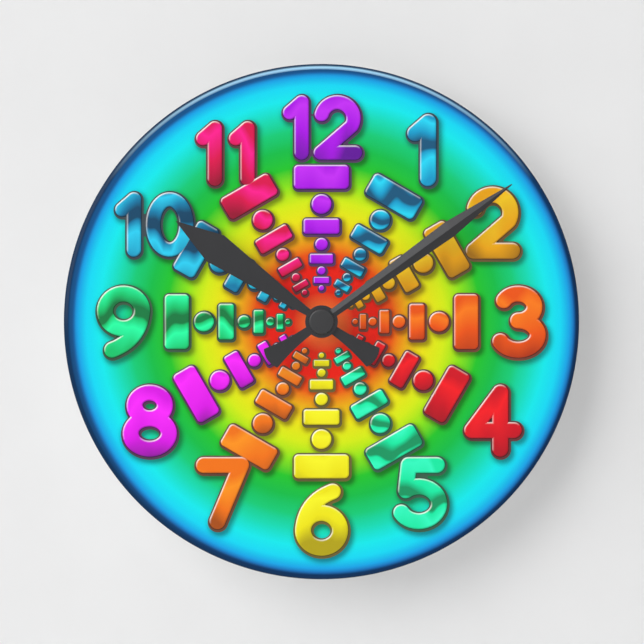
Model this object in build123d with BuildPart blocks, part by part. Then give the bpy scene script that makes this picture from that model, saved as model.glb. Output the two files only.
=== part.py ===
"""Round acrylic wall clock with a plug-in quartz movement, every piece a separate solid.

Millimetres, +Z up. The dial faces -Y and the hands turn about the Y axis. The origin is where
that axis meets the wall, so a plane "d in front of the wall" is y = -d.
"""

from build123d import *
from math import atan2, cos, degrees, hypot, pi, radians, sin
import os

# --- Fits ---------------------------------------------------------------------------------
running_gap = 0.08      # radial play of a shaft in its bearing
press_gap = 0.02        # radial gap of pieces that are pushed together and stay so
end_play = 0.3          # axial gap between turning pieces
seat_gap = 0.05         # gap of a piece that drops into its place

# --- Dial ---------------------------------------------------------------------------------
dial_diameter = 203.2
dial_thickness = 4.0
dial_bevel_width = 2.2
dial_bevel_depth = 1.2

# --- Hands, as lengths from the centre and widths -----------------------------------------
minute_hand_angle = 54.2        # degrees clockwise from twelve
minute_hand_length = 92.0
minute_widest_at = 62.1
minute_widest = 6.6
minute_neck = 3.4
minute_ridge_slope = 0.22       # rise of each facet towards the ridge, per unit of width
minute_tip_width = 0.4
hour_hand_angle = 304.6
hour_hand_length = 69.6
hour_widest_at = 50.6
hour_widest = 12.3
hour_neck = 2.7
hand_thickness = 0.5
hand_disc_diameter = 12.8
blade_overlap = 1.0             # how far the blade's root reaches in under its disc
hour_collar_diameter = 7.6
hour_collar_length = 1.6
minute_collar_diameter = 5.6
minute_collar_length = 1.2
tail_length = 25.9
tail_root = 3.5
tail_middle = 5.2
tail_end = 9.1
tail_end_bulge = 1.3
tail_corner_radius = 0.5
cap_diameter = 9.9
cap_thickness = 1.5
cap_edge_chamfer = 0.5

# --- Movement case ------------------------------------------------------------------------
case_width = 56.0
case_height = 56.0
case_depth = 16.0
case_corner_radius = 3.0
case_edge_chamfer = 0.8
case_wall = 1.0
rear_wall = 1.2
cover_thickness = 1.2
lip_depth = 1.5
lip_thickness = 0.9
clip_width = 7.0
clip_height = 0.9
clip_reach = 0.5
clip_position = 16.0
finger_notch_width = 16.0
finger_notch_height = 4.0
post_width = 2.6
peg_width = 1.2
peg_stand_out = 0.4

# --- Centre bush, nut and what the nut clamps ------------------------------------------------
bush_diameter = 8.0
hanger_thickness = 1.0
gasket_thickness = 0.8
gasket_diameter = 15.0
washer_thickness = 0.5
washer_diameter = 12.0
nut_thickness = 2.5
nut_across_flats = 10.6
bush_stand_out = 0.6

# --- Hanger -------------------------------------------------------------------------------
hanger_eye_diameter = 19.0
hanger_strip_width = 12.0
hanger_tab_width = 24.0
hanger_tab_height = 13.0
hanger_tab_corner_radius = 3.2
hanger_wall_gap = 0.3
hanger_case_gap = 1.0
nail_slot_width = 13.0
nail_slot_height = 5.2
nail_notch_diameter = 3.6

# --- Battery and its bay --------------------------------------------------------------------
battery_diameter = 14.5
battery_nub_diameter = 5.5
battery_nub_length = 1.2
bay_side_gap = 0.3
partition_thickness = 1.1
contact_thickness = 0.4
contact_width = 8.0
contact_bump = 0.4
contact_leaf_width = 4.0
contact_leaf_room = 2.7          # from the case's side to the battery's flat end
negative_track_width = 2.4

# --- Gear train ---------------------------------------------------------------------------
pivot_length = 0.8
wheel_thickness = 1.0
wheel_web_thickness = 0.5
wheel_rim_width = 1.3
wheel_boss_diameter = 4.0
wheel_layer_gap = 0.4
pinion_overhang = 0.2
wheel_addendum = 1.05           # height of a wheel's teeth above the pitch circle, in modules
pinion_addendum = 0.8
tooth_root_gap = 0.35           # gap under a tooth tip, in modules
train_wall_gap = 1.4            # between the centre wheel and the battery bay
arbor_wheel_gap = 0.35          # between a wheel and the arbor that stands beside it
fifth_arbor_gap = 0.54
arbor_modules = 2.5             # diameters of the arbors, in modules of the train
setting_arbor_modules = 4.5
tooth_share = 0.45              # tooth width at the pitch circle, as a share of the pitch
angle_tolerance = 1e-9          # radians, for the tooth curve's end

cannon_teeth = 8
setting_teeth = 24
setting_pinion_teeth = 6
hour_teeth = 24
rotor_teeth = 6
fifth_teeth = 36
fifth_pinion_teeth = 6
fourth_teeth = 30
fourth_pinion_teeth = 6
third_teeth = 45
third_pinion_teeth = 6
centre_teeth = 48

# Directions of the arbors, in degrees anticlockwise from three o'clock as seen from in front.
third_direction = 150.0
fifth_direction = 65.0
rotor_direction = 48.0          # from the fifth arbor
setting_direction = 0.0

minute_arbor_diameter = 3.1
minute_journal_diameter = 2.4
hour_pipe_diameter = 5.1
clutch_spring_thickness = 0.2
clutch_spring_diameter = 5.0

# --- Setting knob ---------------------------------------------------------------------------
knob_diameter = 9.6
knob_thickness = 2.0
knob_recess = 0.2
knob_scallops = 6
knob_scallop_diameter = 3.0
knob_side_gap = 0.5
well_wall = 1.0

# --- Motor --------------------------------------------------------------------------------
magnet_diameter = 5.6
magnet_thickness = 1.6
magnet_air_gap = 0.4
stator_thickness = 0.8
stator_bar_width = 3.0
stator_lobe_width = 1.4
stator_left = -21.4             # x of the left leg's outer edge
stator_leg_width = 3.8
stator_leg_margin = 0.2         # how far a leg reaches past the coil's core
core_width = 2.6
coil_wall_gap = 0.4
bobbin_length = 21.0
bobbin_flange_width = 7.4
bobbin_flange_thickness = 0.8
bobbin_wall = 0.6
winding_diameter = 6.6
bobbin_leg_gap = 1.0

# --- Circuit board --------------------------------------------------------------------------
board_width = 7.6
board_height = 18.0
board_thickness = 0.8
board_post_inset = 1.8
chip_diameter = 4.6
chip_height = 1.1
crystal_diameter = 2.0
crystal_length = 6.0

# --- Bridge ---------------------------------------------------------------------------------
bridge_thickness = 1.0
bridge_ear_diameter = 5.6
bridge_post_gap = 0.5
lower_post_gap = 1.5
upper_left_post_x = -20.0       # the bridge stands on three of the cover's posts
upper_right_post_x = 17.2
lower_post_x = -13.5

# === Distances in front of the wall ===========================================================
cover_rear = case_depth - cover_thickness
hanger_rear = case_depth
gasket_rear = hanger_rear + hanger_thickness
dial_rear = gasket_rear + gasket_thickness
dial_front = dial_rear + dial_thickness
washer_rear = dial_front
nut_rear = washer_rear + washer_thickness
bush_front = nut_rear + nut_thickness + bush_stand_out

hour_collar_rear = bush_front + end_play
hour_hand_rear = hour_collar_rear + hour_collar_length
hour_pipe_front = hour_hand_rear + hand_thickness
minute_collar_rear = hour_pipe_front + end_play
minute_hand_rear = minute_collar_rear + minute_collar_length
minute_hand_front = minute_hand_rear + hand_thickness
cap_front = minute_hand_front + cap_thickness
minute_arbor_front = cap_front - cap_thickness / 2

hour_wheel_front = cover_rear - end_play
hour_wheel_rear = hour_wheel_front - wheel_thickness
setting_wheel_front = hour_wheel_rear - wheel_layer_gap
setting_wheel_rear = setting_wheel_front - wheel_thickness
centre_wheel_front = setting_wheel_rear - 2 * clutch_spring_thickness - pinion_overhang
centre_wheel_rear = centre_wheel_front - wheel_thickness
third_wheel_front = centre_wheel_rear - wheel_layer_gap
third_wheel_rear = third_wheel_front - wheel_thickness
fourth_wheel_front = third_wheel_rear - wheel_layer_gap
fourth_wheel_rear = fourth_wheel_front - wheel_thickness
fifth_wheel_front = fourth_wheel_rear - wheel_layer_gap
fifth_wheel_rear = fifth_wheel_front - wheel_thickness

well_depth = knob_recess + knob_thickness + end_play
well_floor_front = well_depth + well_wall
bridge_rear = well_floor_front - bridge_thickness
bridge_front = bridge_rear + bridge_thickness
arbor_rear = bridge_front + end_play
arbor_front = cover_rear - end_play
pivot_rear = arbor_rear - pivot_length - end_play
pivot_front = arbor_front + pivot_length
magnet_rear = arbor_rear + end_play
stator_rear = magnet_rear + (magnet_thickness - stator_thickness) / 2
stator_front = stator_rear + stator_thickness
core_front = stator_front + stator_thickness
coil_depth = (stator_front + core_front) / 2

# === Places across the movement, x to the right and z up ======================================
centre = (0.0, 0.0)


def polar(start, distance, direction):
    """The point at a distance from another, in a direction in degrees."""
    angle = radians(direction)
    return (start[0] + distance * cos(angle), start[1] + distance * sin(angle))


def centre_distance(first_teeth, second_teeth, module):
    """How far apart two meshing gears stand."""
    return (first_teeth + second_teeth) * module / 2


def shared_module(distance, first_teeth, second_teeth):
    """The module that two gears at a given distance must have to mesh."""
    return 2 * distance / (first_teeth + second_teeth)


inner_half_width = case_width / 2 - case_wall
inner_half_height = case_height / 2 - case_wall
peg_hole = peg_width + 2 * press_gap
battery_depth = cover_rear - seat_gap - battery_diameter / 2
bay_height = battery_diameter + 2 * bay_side_gap
bay_bottom = -inner_half_height
bay_top = bay_bottom + bay_height
battery_z = bay_bottom + bay_height / 2
partition_top = bay_top + partition_thickness

# The centre wheel is as large as the room above the battery bay allows, and the modules of the
# other pairs follow from it.
centre_wheel_reach = -partition_top - train_wall_gap
centre_module = centre_wheel_reach / (centre_teeth / 2 + wheel_addendum)
third_distance = centre_distance(third_pinion_teeth, centre_teeth, centre_module)
train_module = shared_module(third_distance, fourth_pinion_teeth, third_teeth)
arbor_diameter = arbor_modules * train_module
setting_arbor_diameter = setting_arbor_modules * train_module
motion_distance = centre_wheel_reach + setting_arbor_diameter / 2 + arbor_wheel_gap
motion_module = shared_module(motion_distance, cannon_teeth, setting_teeth)
hour_module = shared_module(motion_distance, setting_pinion_teeth, hour_teeth)
fifth_distance = centre_wheel_reach + arbor_diameter / 2 + fifth_arbor_gap
fifth_pinion_module = shared_module(fifth_distance, fifth_pinion_teeth, fourth_teeth)
rotor_distance = centre_distance(rotor_teeth, fifth_teeth, train_module)
setting_place = polar(centre, motion_distance, setting_direction)
third_place = polar(centre, third_distance, third_direction)
fifth_place = polar(centre, fifth_distance, fifth_direction)
rotor_place = polar(fifth_place, rotor_distance, rotor_direction)

battery_nub_x = inner_half_width - contact_thickness - contact_bump
battery_right = battery_nub_x - battery_nub_length
battery_left = -inner_half_width + contact_leaf_room
battery_can_length = battery_right - battery_left

coil_height_above_axis = inner_half_height - coil_wall_gap - bobbin_flange_width / 2
stator_leg_top = coil_height_above_axis + core_width / 2 + stator_leg_margin
stator_left_leg = stator_left + stator_leg_width / 2
stator_right_leg = rotor_place[0]
stator_posts = [
    (stator_left_leg, coil_height_above_axis),
    (stator_right_leg, coil_height_above_axis),
]
bobbin_left = stator_left + stator_leg_width + bobbin_leg_gap
upper_post_z = rotor_place[1] - (stator_bar_width + post_width) / 2 - bridge_post_gap
lower_post_z = partition_top + post_width / 2 + lower_post_gap
bridge_posts = [
    (upper_left_post_x, upper_post_z),
    (lower_post_x, lower_post_z),
    (upper_right_post_x, upper_post_z),
]
board_right = inner_half_width - contact_thickness
board_centre_x = board_right - board_width / 2
board_bottom = partition_top + contact_thickness
board_centre_z = board_bottom + board_height / 2
board_posts = [
    (board_centre_x, board_bottom + board_post_inset),
    (board_centre_x, board_bottom + board_height - board_post_inset),
]


def layer(distance):
    """The plane parallel to the wall that lies a distance in front of it."""
    return Plane.XZ.offset(distance)


def hand_plane(distance, angle):
    """A plane in front of the wall whose x axis runs along a hand, clockwise from twelve."""
    turn = radians(angle)
    return Plane(origin=(0, -distance, 0), x_dir=(sin(turn), 0, cos(turn)), z_dir=(0, -1, 0))


def epicycloid(pitch_radius, rolling_radius, turn):
    """Radius and angle of the curve that a circle rolling outside the pitch circle draws."""
    reach = pitch_radius + rolling_radius
    spin = turn * reach / rolling_radius
    x = reach * cos(turn) - rolling_radius * cos(spin)
    y = reach * sin(turn) - rolling_radius * sin(spin)
    return hypot(x, y), atan2(y, x)


def tooth_tip(pitch_radius, rolling_radius, tip_radius):
    """The angle that an epicycloid flank has turned through when it reaches the tip radius."""
    low = 0.0
    high = pi * rolling_radius / pitch_radius
    while high - low > angle_tolerance:
        middle = (low + high) / 2
        if epicycloid(pitch_radius, rolling_radius, middle)[0] < tip_radius:
            low = middle
        else:
            high = middle
    return epicycloid(pitch_radius, rolling_radius, low)[1]


def gear_corners(teeth, mate_teeth, module, addendum, mate_addendum, place, phase):
    """Corners of a gear, one tooth pointing along the phase angle.

    Below the pitch circle a flank is radial. Above it the flank leans in as far as the
    epicycloid that the mate's half-size circle draws, which is the clockmaker's tooth.
    """
    pitch_radius = teeth * module / 2
    tip_radius = pitch_radius + addendum * module
    root_radius = pitch_radius - (mate_addendum + tooth_root_gap) * module
    half_tooth = tooth_share * pi / teeth
    half_tip = half_tooth - tooth_tip(pitch_radius, mate_teeth * module / 4, tip_radius)
    profile = [
        (root_radius, -half_tooth),
        (pitch_radius, -half_tooth),
        (tip_radius, -half_tip),
        (tip_radius, half_tip),
        (pitch_radius, half_tooth),
        (root_radius, half_tooth),
    ]
    return [
        polar(place, radius, degrees(phase + 2 * pi * tooth / teeth + angle))
        for tooth in range(teeth)
        for radius, angle in profile
    ]


def meshing_pair(pinion_teeth, wheel_teeth, module, pinion_place, wheel_place):
    """Corners of a pinion and a wheel in mesh: a pinion tooth stands in a gap of the wheel."""
    line = atan2(wheel_place[1] - pinion_place[1], wheel_place[0] - pinion_place[0])
    pinion = gear_corners(
        pinion_teeth, wheel_teeth, module, pinion_addendum, wheel_addendum, pinion_place, line
    )
    wheel = gear_corners(
        wheel_teeth,
        pinion_teeth,
        module,
        wheel_addendum,
        pinion_addendum,
        wheel_place,
        line + pi + pi / wheel_teeth,
    )
    return pinion, wheel


cannon_corners, setting_corners = meshing_pair(
    cannon_teeth, setting_teeth, motion_module, centre, setting_place
)
setting_pinion_corners, hour_corners = meshing_pair(
    setting_pinion_teeth, hour_teeth, hour_module, setting_place, centre
)
rotor_corners, fifth_corners = meshing_pair(
    rotor_teeth, fifth_teeth, train_module, rotor_place, fifth_place
)
fifth_pinion_corners, fourth_corners = meshing_pair(
    fifth_pinion_teeth, fourth_teeth, fifth_pinion_module, fifth_place, centre
)
fourth_pinion_corners, third_corners = meshing_pair(
    fourth_pinion_teeth, third_teeth, train_module, centre, third_place
)
third_pinion_corners, centre_corners = meshing_pair(
    third_pinion_teeth, centre_teeth, centre_module, third_place, centre
)


def add_gear(corners, rear, front):
    """Extrude a toothed outline between two distances from the wall."""
    with BuildSketch(layer(rear)) as outline:
        with BuildLine():
            Polyline(*corners, close=True)
        make_face()
    extrude(outline.sketch, amount=front - rear)


def add_round(place, diameter, rear, front, mode=Mode.ADD):
    """A cylinder square to the wall, added or cut away."""
    with BuildSketch(layer(rear)) as section:
        with Locations(place):
            Circle(diameter / 2)
    extrude(section.sketch, amount=front - rear, mode=mode)


def add_square(place, width, rear, front):
    """A square peg that stands out from the cover."""
    with BuildSketch(layer(rear)) as section:
        with Locations(place):
            Rectangle(width, width)
    extrude(section.sketch, amount=front - rear)


def thin_web(place, outer_radius, rear, front):
    """Cut a moulded wheel's web thin from behind, between its boss and its rim."""
    with BuildSketch(layer(rear)) as ring:
        with Locations(place):
            Circle(outer_radius - wheel_rim_width)
            Circle(wheel_boss_diameter / 2, mode=Mode.SUBTRACT)
    extrude(ring.sketch, amount=front - rear - wheel_web_thickness, mode=Mode.SUBTRACT)


def root_radius(teeth, module):
    """Radius of the bottom of a wheel's tooth gaps."""
    return teeth * module / 2 - (pinion_addendum + tooth_root_gap) * module


# === Dial and what clamps it ===================================================================
with BuildPart() as dial_disc:
    with BuildSketch(layer(dial_rear)):
        Circle(dial_diameter / 2)
        Circle(bush_diameter / 2 + seat_gap, mode=Mode.SUBTRACT)
    extrude(amount=dial_thickness)
    dial_face = dial_disc.faces().sort_by(Axis.Y)[0]
    chamfer(
        dial_face.outer_wire().edges(),
        length=dial_bevel_width,
        length2=dial_bevel_depth,
        reference=dial_face,
    )

with BuildPart() as rubber_gasket:
    with BuildSketch(layer(gasket_rear)):
        Circle(gasket_diameter / 2)
        Circle(bush_diameter / 2 + press_gap, mode=Mode.SUBTRACT)
    extrude(amount=gasket_thickness)

with BuildPart() as brass_washer:
    with BuildSketch(layer(washer_rear)):
        Circle(washer_diameter / 2)
        Circle(bush_diameter / 2 + seat_gap, mode=Mode.SUBTRACT)
    extrude(amount=washer_thickness)

with BuildPart() as hex_nut:
    with BuildSketch(layer(nut_rear)):
        RegularPolygon(nut_across_flats / 2, 6, major_radius=False)
        Circle(bush_diameter / 2 + press_gap, mode=Mode.SUBTRACT)
    extrude(amount=nut_thickness)

# The hanger is a steel strip: an eye under the dial, a step back over the case, a tab at the wall.
hanger_step_top = case_height / 2 + hanger_case_gap
hanger_bend_radius = hanger_case_gap + hanger_thickness / 2
tab_depth = hanger_wall_gap + hanger_thickness / 2
tab_bottom = hanger_step_top + 2 * hanger_bend_radius
nail_slot_z = tab_bottom + hanger_tab_height / 2
with BuildPart() as wall_hanger:
    with BuildSketch(layer(hanger_rear)):
        Circle(hanger_eye_diameter / 2)
    extrude(amount=hanger_thickness)
    with BuildSketch(Plane.YZ.offset(-hanger_strip_width / 2)):
        with BuildLine():
            FilletPolyline(
                (-hanger_rear - hanger_thickness / 2, centre[1]),
                (-hanger_rear - hanger_thickness / 2, hanger_step_top + hanger_thickness / 2),
                (-tab_depth, hanger_step_top + hanger_thickness / 2),
                (-tab_depth, tab_bottom),
                radius=hanger_bend_radius,
            )
        trace(line_width=hanger_thickness)
    extrude(amount=hanger_strip_width)
    with BuildSketch(layer(hanger_wall_gap)):
        with Locations((0, nail_slot_z)):
            RectangleRounded(hanger_tab_width, hanger_tab_height, hanger_tab_corner_radius)
    extrude(amount=hanger_thickness)
    with BuildSketch(layer(hanger_wall_gap)):
        with Locations((0, nail_slot_z)):
            SlotOverall(nail_slot_width, nail_slot_height)
        with Locations((0, nail_slot_z + nail_slot_height / 2)):
            Circle(nail_notch_diameter / 2)
    extrude(amount=hanger_thickness, mode=Mode.SUBTRACT)
    add_round(centre, bush_diameter + 2 * seat_gap, hanger_rear, gasket_rear, Mode.SUBTRACT)

# === Movement case =============================================================================
with BuildPart() as movement_rear_case:
    with BuildSketch(layer(0)):
        RectangleRounded(case_width, case_height, case_corner_radius)
    extrude(amount=cover_rear)
    chamfer(movement_rear_case.faces().sort_by(Axis.Y)[-1].edges(), length=case_edge_chamfer)
    chamber_height = inner_half_height - partition_top
    with BuildSketch(layer(rear_wall)):
        with Locations((0, (inner_half_height + partition_top) / 2)):
            Rectangle(2 * inner_half_width, chamber_height)
    extrude(amount=cover_rear - rear_wall, mode=Mode.SUBTRACT)
    with BuildSketch(layer(0)):
        with Locations((0, battery_z)):
            Rectangle(2 * inner_half_width, bay_height)
    extrude(amount=cover_rear, mode=Mode.SUBTRACT)
    # The well that the setting knob sits in, with the setting arbor's bearing in its floor.
    well_inner = knob_diameter + 2 * knob_side_gap
    add_round(setting_place, well_inner + 2 * well_wall, 0, well_floor_front)
    add_round(setting_place, well_inner, 0, well_depth, Mode.SUBTRACT)
    setting_bearing = setting_arbor_diameter + 2 * running_gap
    add_round(setting_place, setting_bearing, 0, well_floor_front, Mode.SUBTRACT)
    # Windows for the cover's clips, and a notch to lift the battery out by.
    with BuildSketch(layer(cover_rear - lip_depth)):
        with Locations((0, clip_position)):
            Rectangle(case_width, clip_width)
    extrude(amount=clip_height, mode=Mode.SUBTRACT)
    with BuildSketch(Plane.XY.offset(-case_height / 2)):
        with Locations((0, -finger_notch_height / 2)):
            Rectangle(finger_notch_width, finger_notch_height)
    extrude(amount=case_wall, mode=Mode.SUBTRACT)
    # Slots in the partition for the two battery contacts.
    for side in (-1, 1):
        with BuildSketch(Plane.XY.offset(bay_top)):
            with Locations((side * (inner_half_width - contact_thickness / 2), -battery_depth)):
                Rectangle(contact_thickness + 2 * press_gap, contact_width + 2 * press_gap)
        extrude(amount=partition_thickness, mode=Mode.SUBTRACT)

with BuildPart() as movement_front_cover:
    with BuildSketch(layer(cover_rear)):
        RectangleRounded(case_width, case_height, case_corner_radius)
    extrude(amount=cover_thickness)
    lip_width = 2 * (inner_half_width - seat_gap)
    lip_height = 2 * (inner_half_height - seat_gap)
    with BuildSketch(layer(cover_rear - lip_depth)):
        Rectangle(lip_width, lip_height)
        Rectangle(lip_width - 2 * lip_thickness, lip_height - 2 * lip_thickness, mode=Mode.SUBTRACT)
        with Locations((0, (bay_top + partition_top) / 2)):
            Rectangle(lip_width, partition_thickness + 2 * seat_gap, mode=Mode.SUBTRACT)
    extrude(amount=lip_depth)
    with BuildSketch(layer(cover_rear - lip_depth)):
        for side in (-1, 1):
            with Locations((side * (inner_half_width - lip_thickness / 2), clip_position)):
                Rectangle(lip_thickness + clip_reach, clip_width - 2 * end_play)
    extrude(amount=clip_height - seat_gap)
    # The bush that carries the dial and the hands.
    add_round(centre, bush_diameter, case_depth, bush_front)
    # Posts with pins for the bridge, the stator and the circuit board.
    for place in bridge_posts:
        add_square(place, post_width, bridge_front, cover_rear)
        add_square(place, peg_width, bridge_rear - peg_stand_out, bridge_front)
    for place in stator_posts:
        add_square(place, post_width, core_front, cover_rear)
        add_square(place, peg_width, stator_rear - peg_stand_out, core_front)
    for place in board_posts:
        add_square(place, post_width, stator_front, cover_rear)
        add_square(place, peg_width, stator_rear - peg_stand_out, stator_front)
    # Bearings: the bush bore and the blind holes for the arbors' front ends.
    bush_bore = hour_pipe_diameter + 2 * running_gap
    add_round(centre, bush_bore, cover_rear, bush_front, Mode.SUBTRACT)
    pivot_hole = arbor_diameter + 2 * running_gap
    for place in (third_place, fifth_place, rotor_place, setting_place):
        add_round(place, pivot_hole, cover_rear, cover_rear + pivot_length, Mode.SUBTRACT)

with BuildPart() as gear_bridge:
    with BuildSketch(layer(bridge_rear)):
        with BuildLine():
            for place in bridge_posts + [rotor_place]:
                CenterArc(place, bridge_ear_diameter / 2, 0, 360)
        make_hull()
        with Locations(setting_place):
            Circle(knob_diameter / 2 + knob_side_gap + well_wall + end_play, mode=Mode.SUBTRACT)
        with Locations(*bridge_posts):
            Rectangle(peg_hole, peg_hole, mode=Mode.SUBTRACT)
        with Locations(centre, third_place, fifth_place, rotor_place):
            Circle(arbor_diameter / 2 + running_gap, mode=Mode.SUBTRACT)
    extrude(amount=bridge_thickness)

# === Battery and its contacts ==================================================================
battery_plane = Plane(origin=(battery_left, -battery_depth, battery_z), z_dir=(1, 0, 0))
with BuildPart() as battery:
    with BuildSketch(battery_plane):
        Circle(battery_diameter / 2)
    extrude(amount=battery_can_length)
    with BuildSketch(battery_plane.offset(battery_can_length)):
        Circle(battery_nub_diameter / 2)
    extrude(amount=battery_nub_length)

positive_top = board_bottom + board_height / 2
with BuildPart() as positive_contact:
    with BuildSketch(Plane.YZ.offset(inner_half_width - contact_thickness)):
        with Locations((-battery_depth, (battery_z + positive_top) / 2)):
            Rectangle(contact_width, positive_top - battery_z + contact_width)
    extrude(amount=contact_thickness)
    with BuildSketch(Plane.YZ.offset(inner_half_width - contact_thickness)):
        with Locations((-battery_depth, battery_z)):
            Circle(battery_nub_diameter / 2)
    extrude(amount=-contact_bump)

with BuildPart() as negative_contact:
    with BuildSketch(Plane.YZ.offset(-inner_half_width)):
        with Locations((-battery_depth, (battery_z + partition_top) / 2)):
            Rectangle(contact_width, partition_top - battery_z + contact_width)
    extrude(amount=contact_thickness)
    # A bowed leaf pushes the battery towards the other contact.
    leaf_root = -inner_half_width + contact_thickness / 2
    with BuildSketch(Plane.XY.offset(battery_z - contact_leaf_width / 2)):
        with BuildLine():
            ThreePointArc(
                (leaf_root, -battery_depth - contact_width / 2),
                (battery_left - contact_thickness / 2, -battery_depth),
                (leaf_root, -battery_depth + contact_width / 2),
            )
        trace(line_width=contact_thickness)
    extrude(amount=contact_leaf_width)
    # The track that runs along the partition to the circuit board.
    track_length = inner_half_width + board_centre_x
    with BuildSketch(Plane.XY.offset(partition_top)):
        with Locations((-inner_half_width + track_length / 2, -battery_depth)):
            Rectangle(track_length, negative_track_width)
    extrude(amount=contact_thickness)

# === Motor and circuit =========================================================================
with BuildPart() as stator_plate:
    with BuildSketch(layer(stator_rear)):
        for leg in (stator_left_leg, stator_right_leg):
            with Locations((leg, (stator_leg_top + rotor_place[1]) / 2)):
                Rectangle(stator_leg_width, stator_leg_top - rotor_place[1])
        with Locations(((stator_left + rotor_place[0]) / 2, rotor_place[1])):
            Rectangle(rotor_place[0] - stator_left, stator_bar_width)
        with Locations(rotor_place):
            Circle(magnet_diameter / 2 + magnet_air_gap + stator_lobe_width)
            Circle(magnet_diameter / 2 + magnet_air_gap, mode=Mode.SUBTRACT)
        with Locations(*stator_posts):
            Rectangle(peg_hole, peg_hole, mode=Mode.SUBTRACT)
    extrude(amount=stator_thickness)

core_length = stator_right_leg - stator_left_leg + stator_leg_width
with BuildPart() as coil_core:
    with BuildSketch(layer(stator_front)):
        with Locations(((stator_left_leg + stator_right_leg) / 2, coil_height_above_axis)):
            Rectangle(core_length, core_width)
        with Locations(*stator_posts):
            Rectangle(peg_hole, peg_hole, mode=Mode.SUBTRACT)
    extrude(amount=stator_thickness)

bobbin_plane = Plane(
    origin=(bobbin_left, -coil_depth, coil_height_above_axis), x_dir=(0, 0, 1), z_dir=(1, 0, 0)
)
bobbin_bore_height = core_width + 2 * seat_gap
bobbin_bore_depth = stator_thickness + 2 * seat_gap
with BuildPart() as coil_bobbin:
    with BuildSketch(bobbin_plane):
        Rectangle(bobbin_bore_height + 2 * bobbin_wall, bobbin_bore_depth + 2 * bobbin_wall)
    extrude(amount=bobbin_length)
    for flange_start in (0, bobbin_length - bobbin_flange_thickness):
        with BuildSketch(bobbin_plane.offset(flange_start)):
            Rectangle(bobbin_flange_width, bobbin_flange_width)
        extrude(amount=bobbin_flange_thickness)
    with BuildSketch(bobbin_plane):
        Rectangle(bobbin_bore_height, bobbin_bore_depth)
    extrude(amount=bobbin_length, mode=Mode.SUBTRACT)

with BuildPart() as coil_winding:
    with BuildSketch(bobbin_plane.offset(bobbin_flange_thickness)):
        Circle(winding_diameter / 2)
        Rectangle(
            bobbin_bore_height + 2 * bobbin_wall,
            bobbin_bore_depth + 2 * bobbin_wall,
            mode=Mode.SUBTRACT,
        )
    extrude(amount=bobbin_length - 2 * bobbin_flange_thickness)

with BuildPart() as circuit_board:
    with BuildSketch(layer(stator_rear)):
        with Locations((board_centre_x, board_centre_z)):
            Rectangle(board_width, board_height)
        with Locations(*board_posts):
            Rectangle(peg_hole, peg_hole, mode=Mode.SUBTRACT)
    extrude(amount=board_thickness)

# The chip under its drop of resin, on the side of the board that faces the wall.
chip_place = (board_centre_x, board_centre_z - (chip_diameter + seat_gap) / 2)
with BuildPart() as chip_cover:
    with BuildSketch(layer(stator_rear)):
        with Locations(chip_place):
            Circle(chip_diameter / 2)
    extrude(amount=-chip_height)

crystal_z = board_centre_z + (crystal_length + seat_gap) / 2
with BuildPart() as quartz_crystal:
    with BuildSketch(Plane.XY.offset(crystal_z - crystal_length / 2)):
        with Locations((board_centre_x, -stator_rear + crystal_diameter / 2)):
            Circle(crystal_diameter / 2)
    extrude(amount=crystal_length)

# === Going train ===============================================================================
# The rotor steps half a turn a second, the fourth wheel turns once a minute and the centre
# wheel once an hour, on the same axis.
with BuildPart() as rotor_pinion:
    add_gear(rotor_corners, fifth_wheel_rear - pinion_overhang, fifth_wheel_front + pinion_overhang)
    add_round(rotor_place, arbor_diameter, pivot_rear, pivot_front)

with BuildPart() as rotor_magnet:
    with BuildSketch(layer(magnet_rear)):
        with Locations(rotor_place):
            Circle(magnet_diameter / 2)
            Circle(arbor_diameter / 2 + press_gap, mode=Mode.SUBTRACT)
    extrude(amount=magnet_thickness)

with BuildPart() as fifth_wheel:
    add_gear(fifth_corners, fifth_wheel_rear, fifth_wheel_front)
    thin_web(fifth_place, root_radius(fifth_teeth, train_module), fifth_wheel_rear, fifth_wheel_front)
    add_gear(fifth_pinion_corners, fifth_wheel_front, fourth_wheel_front + pinion_overhang)
    add_round(fifth_place, arbor_diameter, pivot_rear, pivot_front)

fourth_pinion_front = third_wheel_front + pinion_overhang / 2
with BuildPart() as fourth_wheel:
    add_gear(fourth_corners, fourth_wheel_rear, fourth_wheel_front)
    add_gear(fourth_pinion_corners, fourth_wheel_front, fourth_pinion_front)
    add_round(centre, arbor_diameter, pivot_rear, centre_wheel_front)

with BuildPart() as third_wheel:
    add_gear(third_corners, third_wheel_rear, third_wheel_front)
    thin_web(third_place, root_radius(third_teeth, train_module), third_wheel_rear, third_wheel_front)
    add_gear(third_pinion_corners, third_wheel_front, centre_wheel_front + pinion_overhang)
    add_round(third_place, arbor_diameter, pivot_rear, pivot_front)

with BuildPart() as centre_wheel:
    add_gear(centre_corners, centre_wheel_rear, centre_wheel_front)
    with BuildSketch(layer(centre_wheel_rear)):
        Circle(minute_journal_diameter / 2 + running_gap)
    extrude(amount=wheel_thickness, mode=Mode.SUBTRACT)

# A thin spring ring presses the centre wheel so that it drives the hands but lets the knob slip.
with BuildPart() as clutch_spring:
    with BuildSketch(layer(centre_wheel_front)):
        Circle(clutch_spring_diameter / 2)
        Circle(minute_journal_diameter / 2 + running_gap, mode=Mode.SUBTRACT)
    extrude(amount=clutch_spring_thickness)

# === Motion work ===============================================================================
with BuildPart() as minute_arbor:
    add_gear(cannon_corners, setting_wheel_rear, setting_wheel_front)
    add_round(centre, minute_arbor_diameter, setting_wheel_rear, minute_arbor_front)
    add_round(centre, minute_journal_diameter, centre_wheel_rear, setting_wheel_rear)
    fourth_bearing = arbor_diameter + 2 * running_gap
    add_round(
        centre, fourth_bearing, centre_wheel_rear, centre_wheel_front + pinion_overhang, Mode.SUBTRACT
    )

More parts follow.
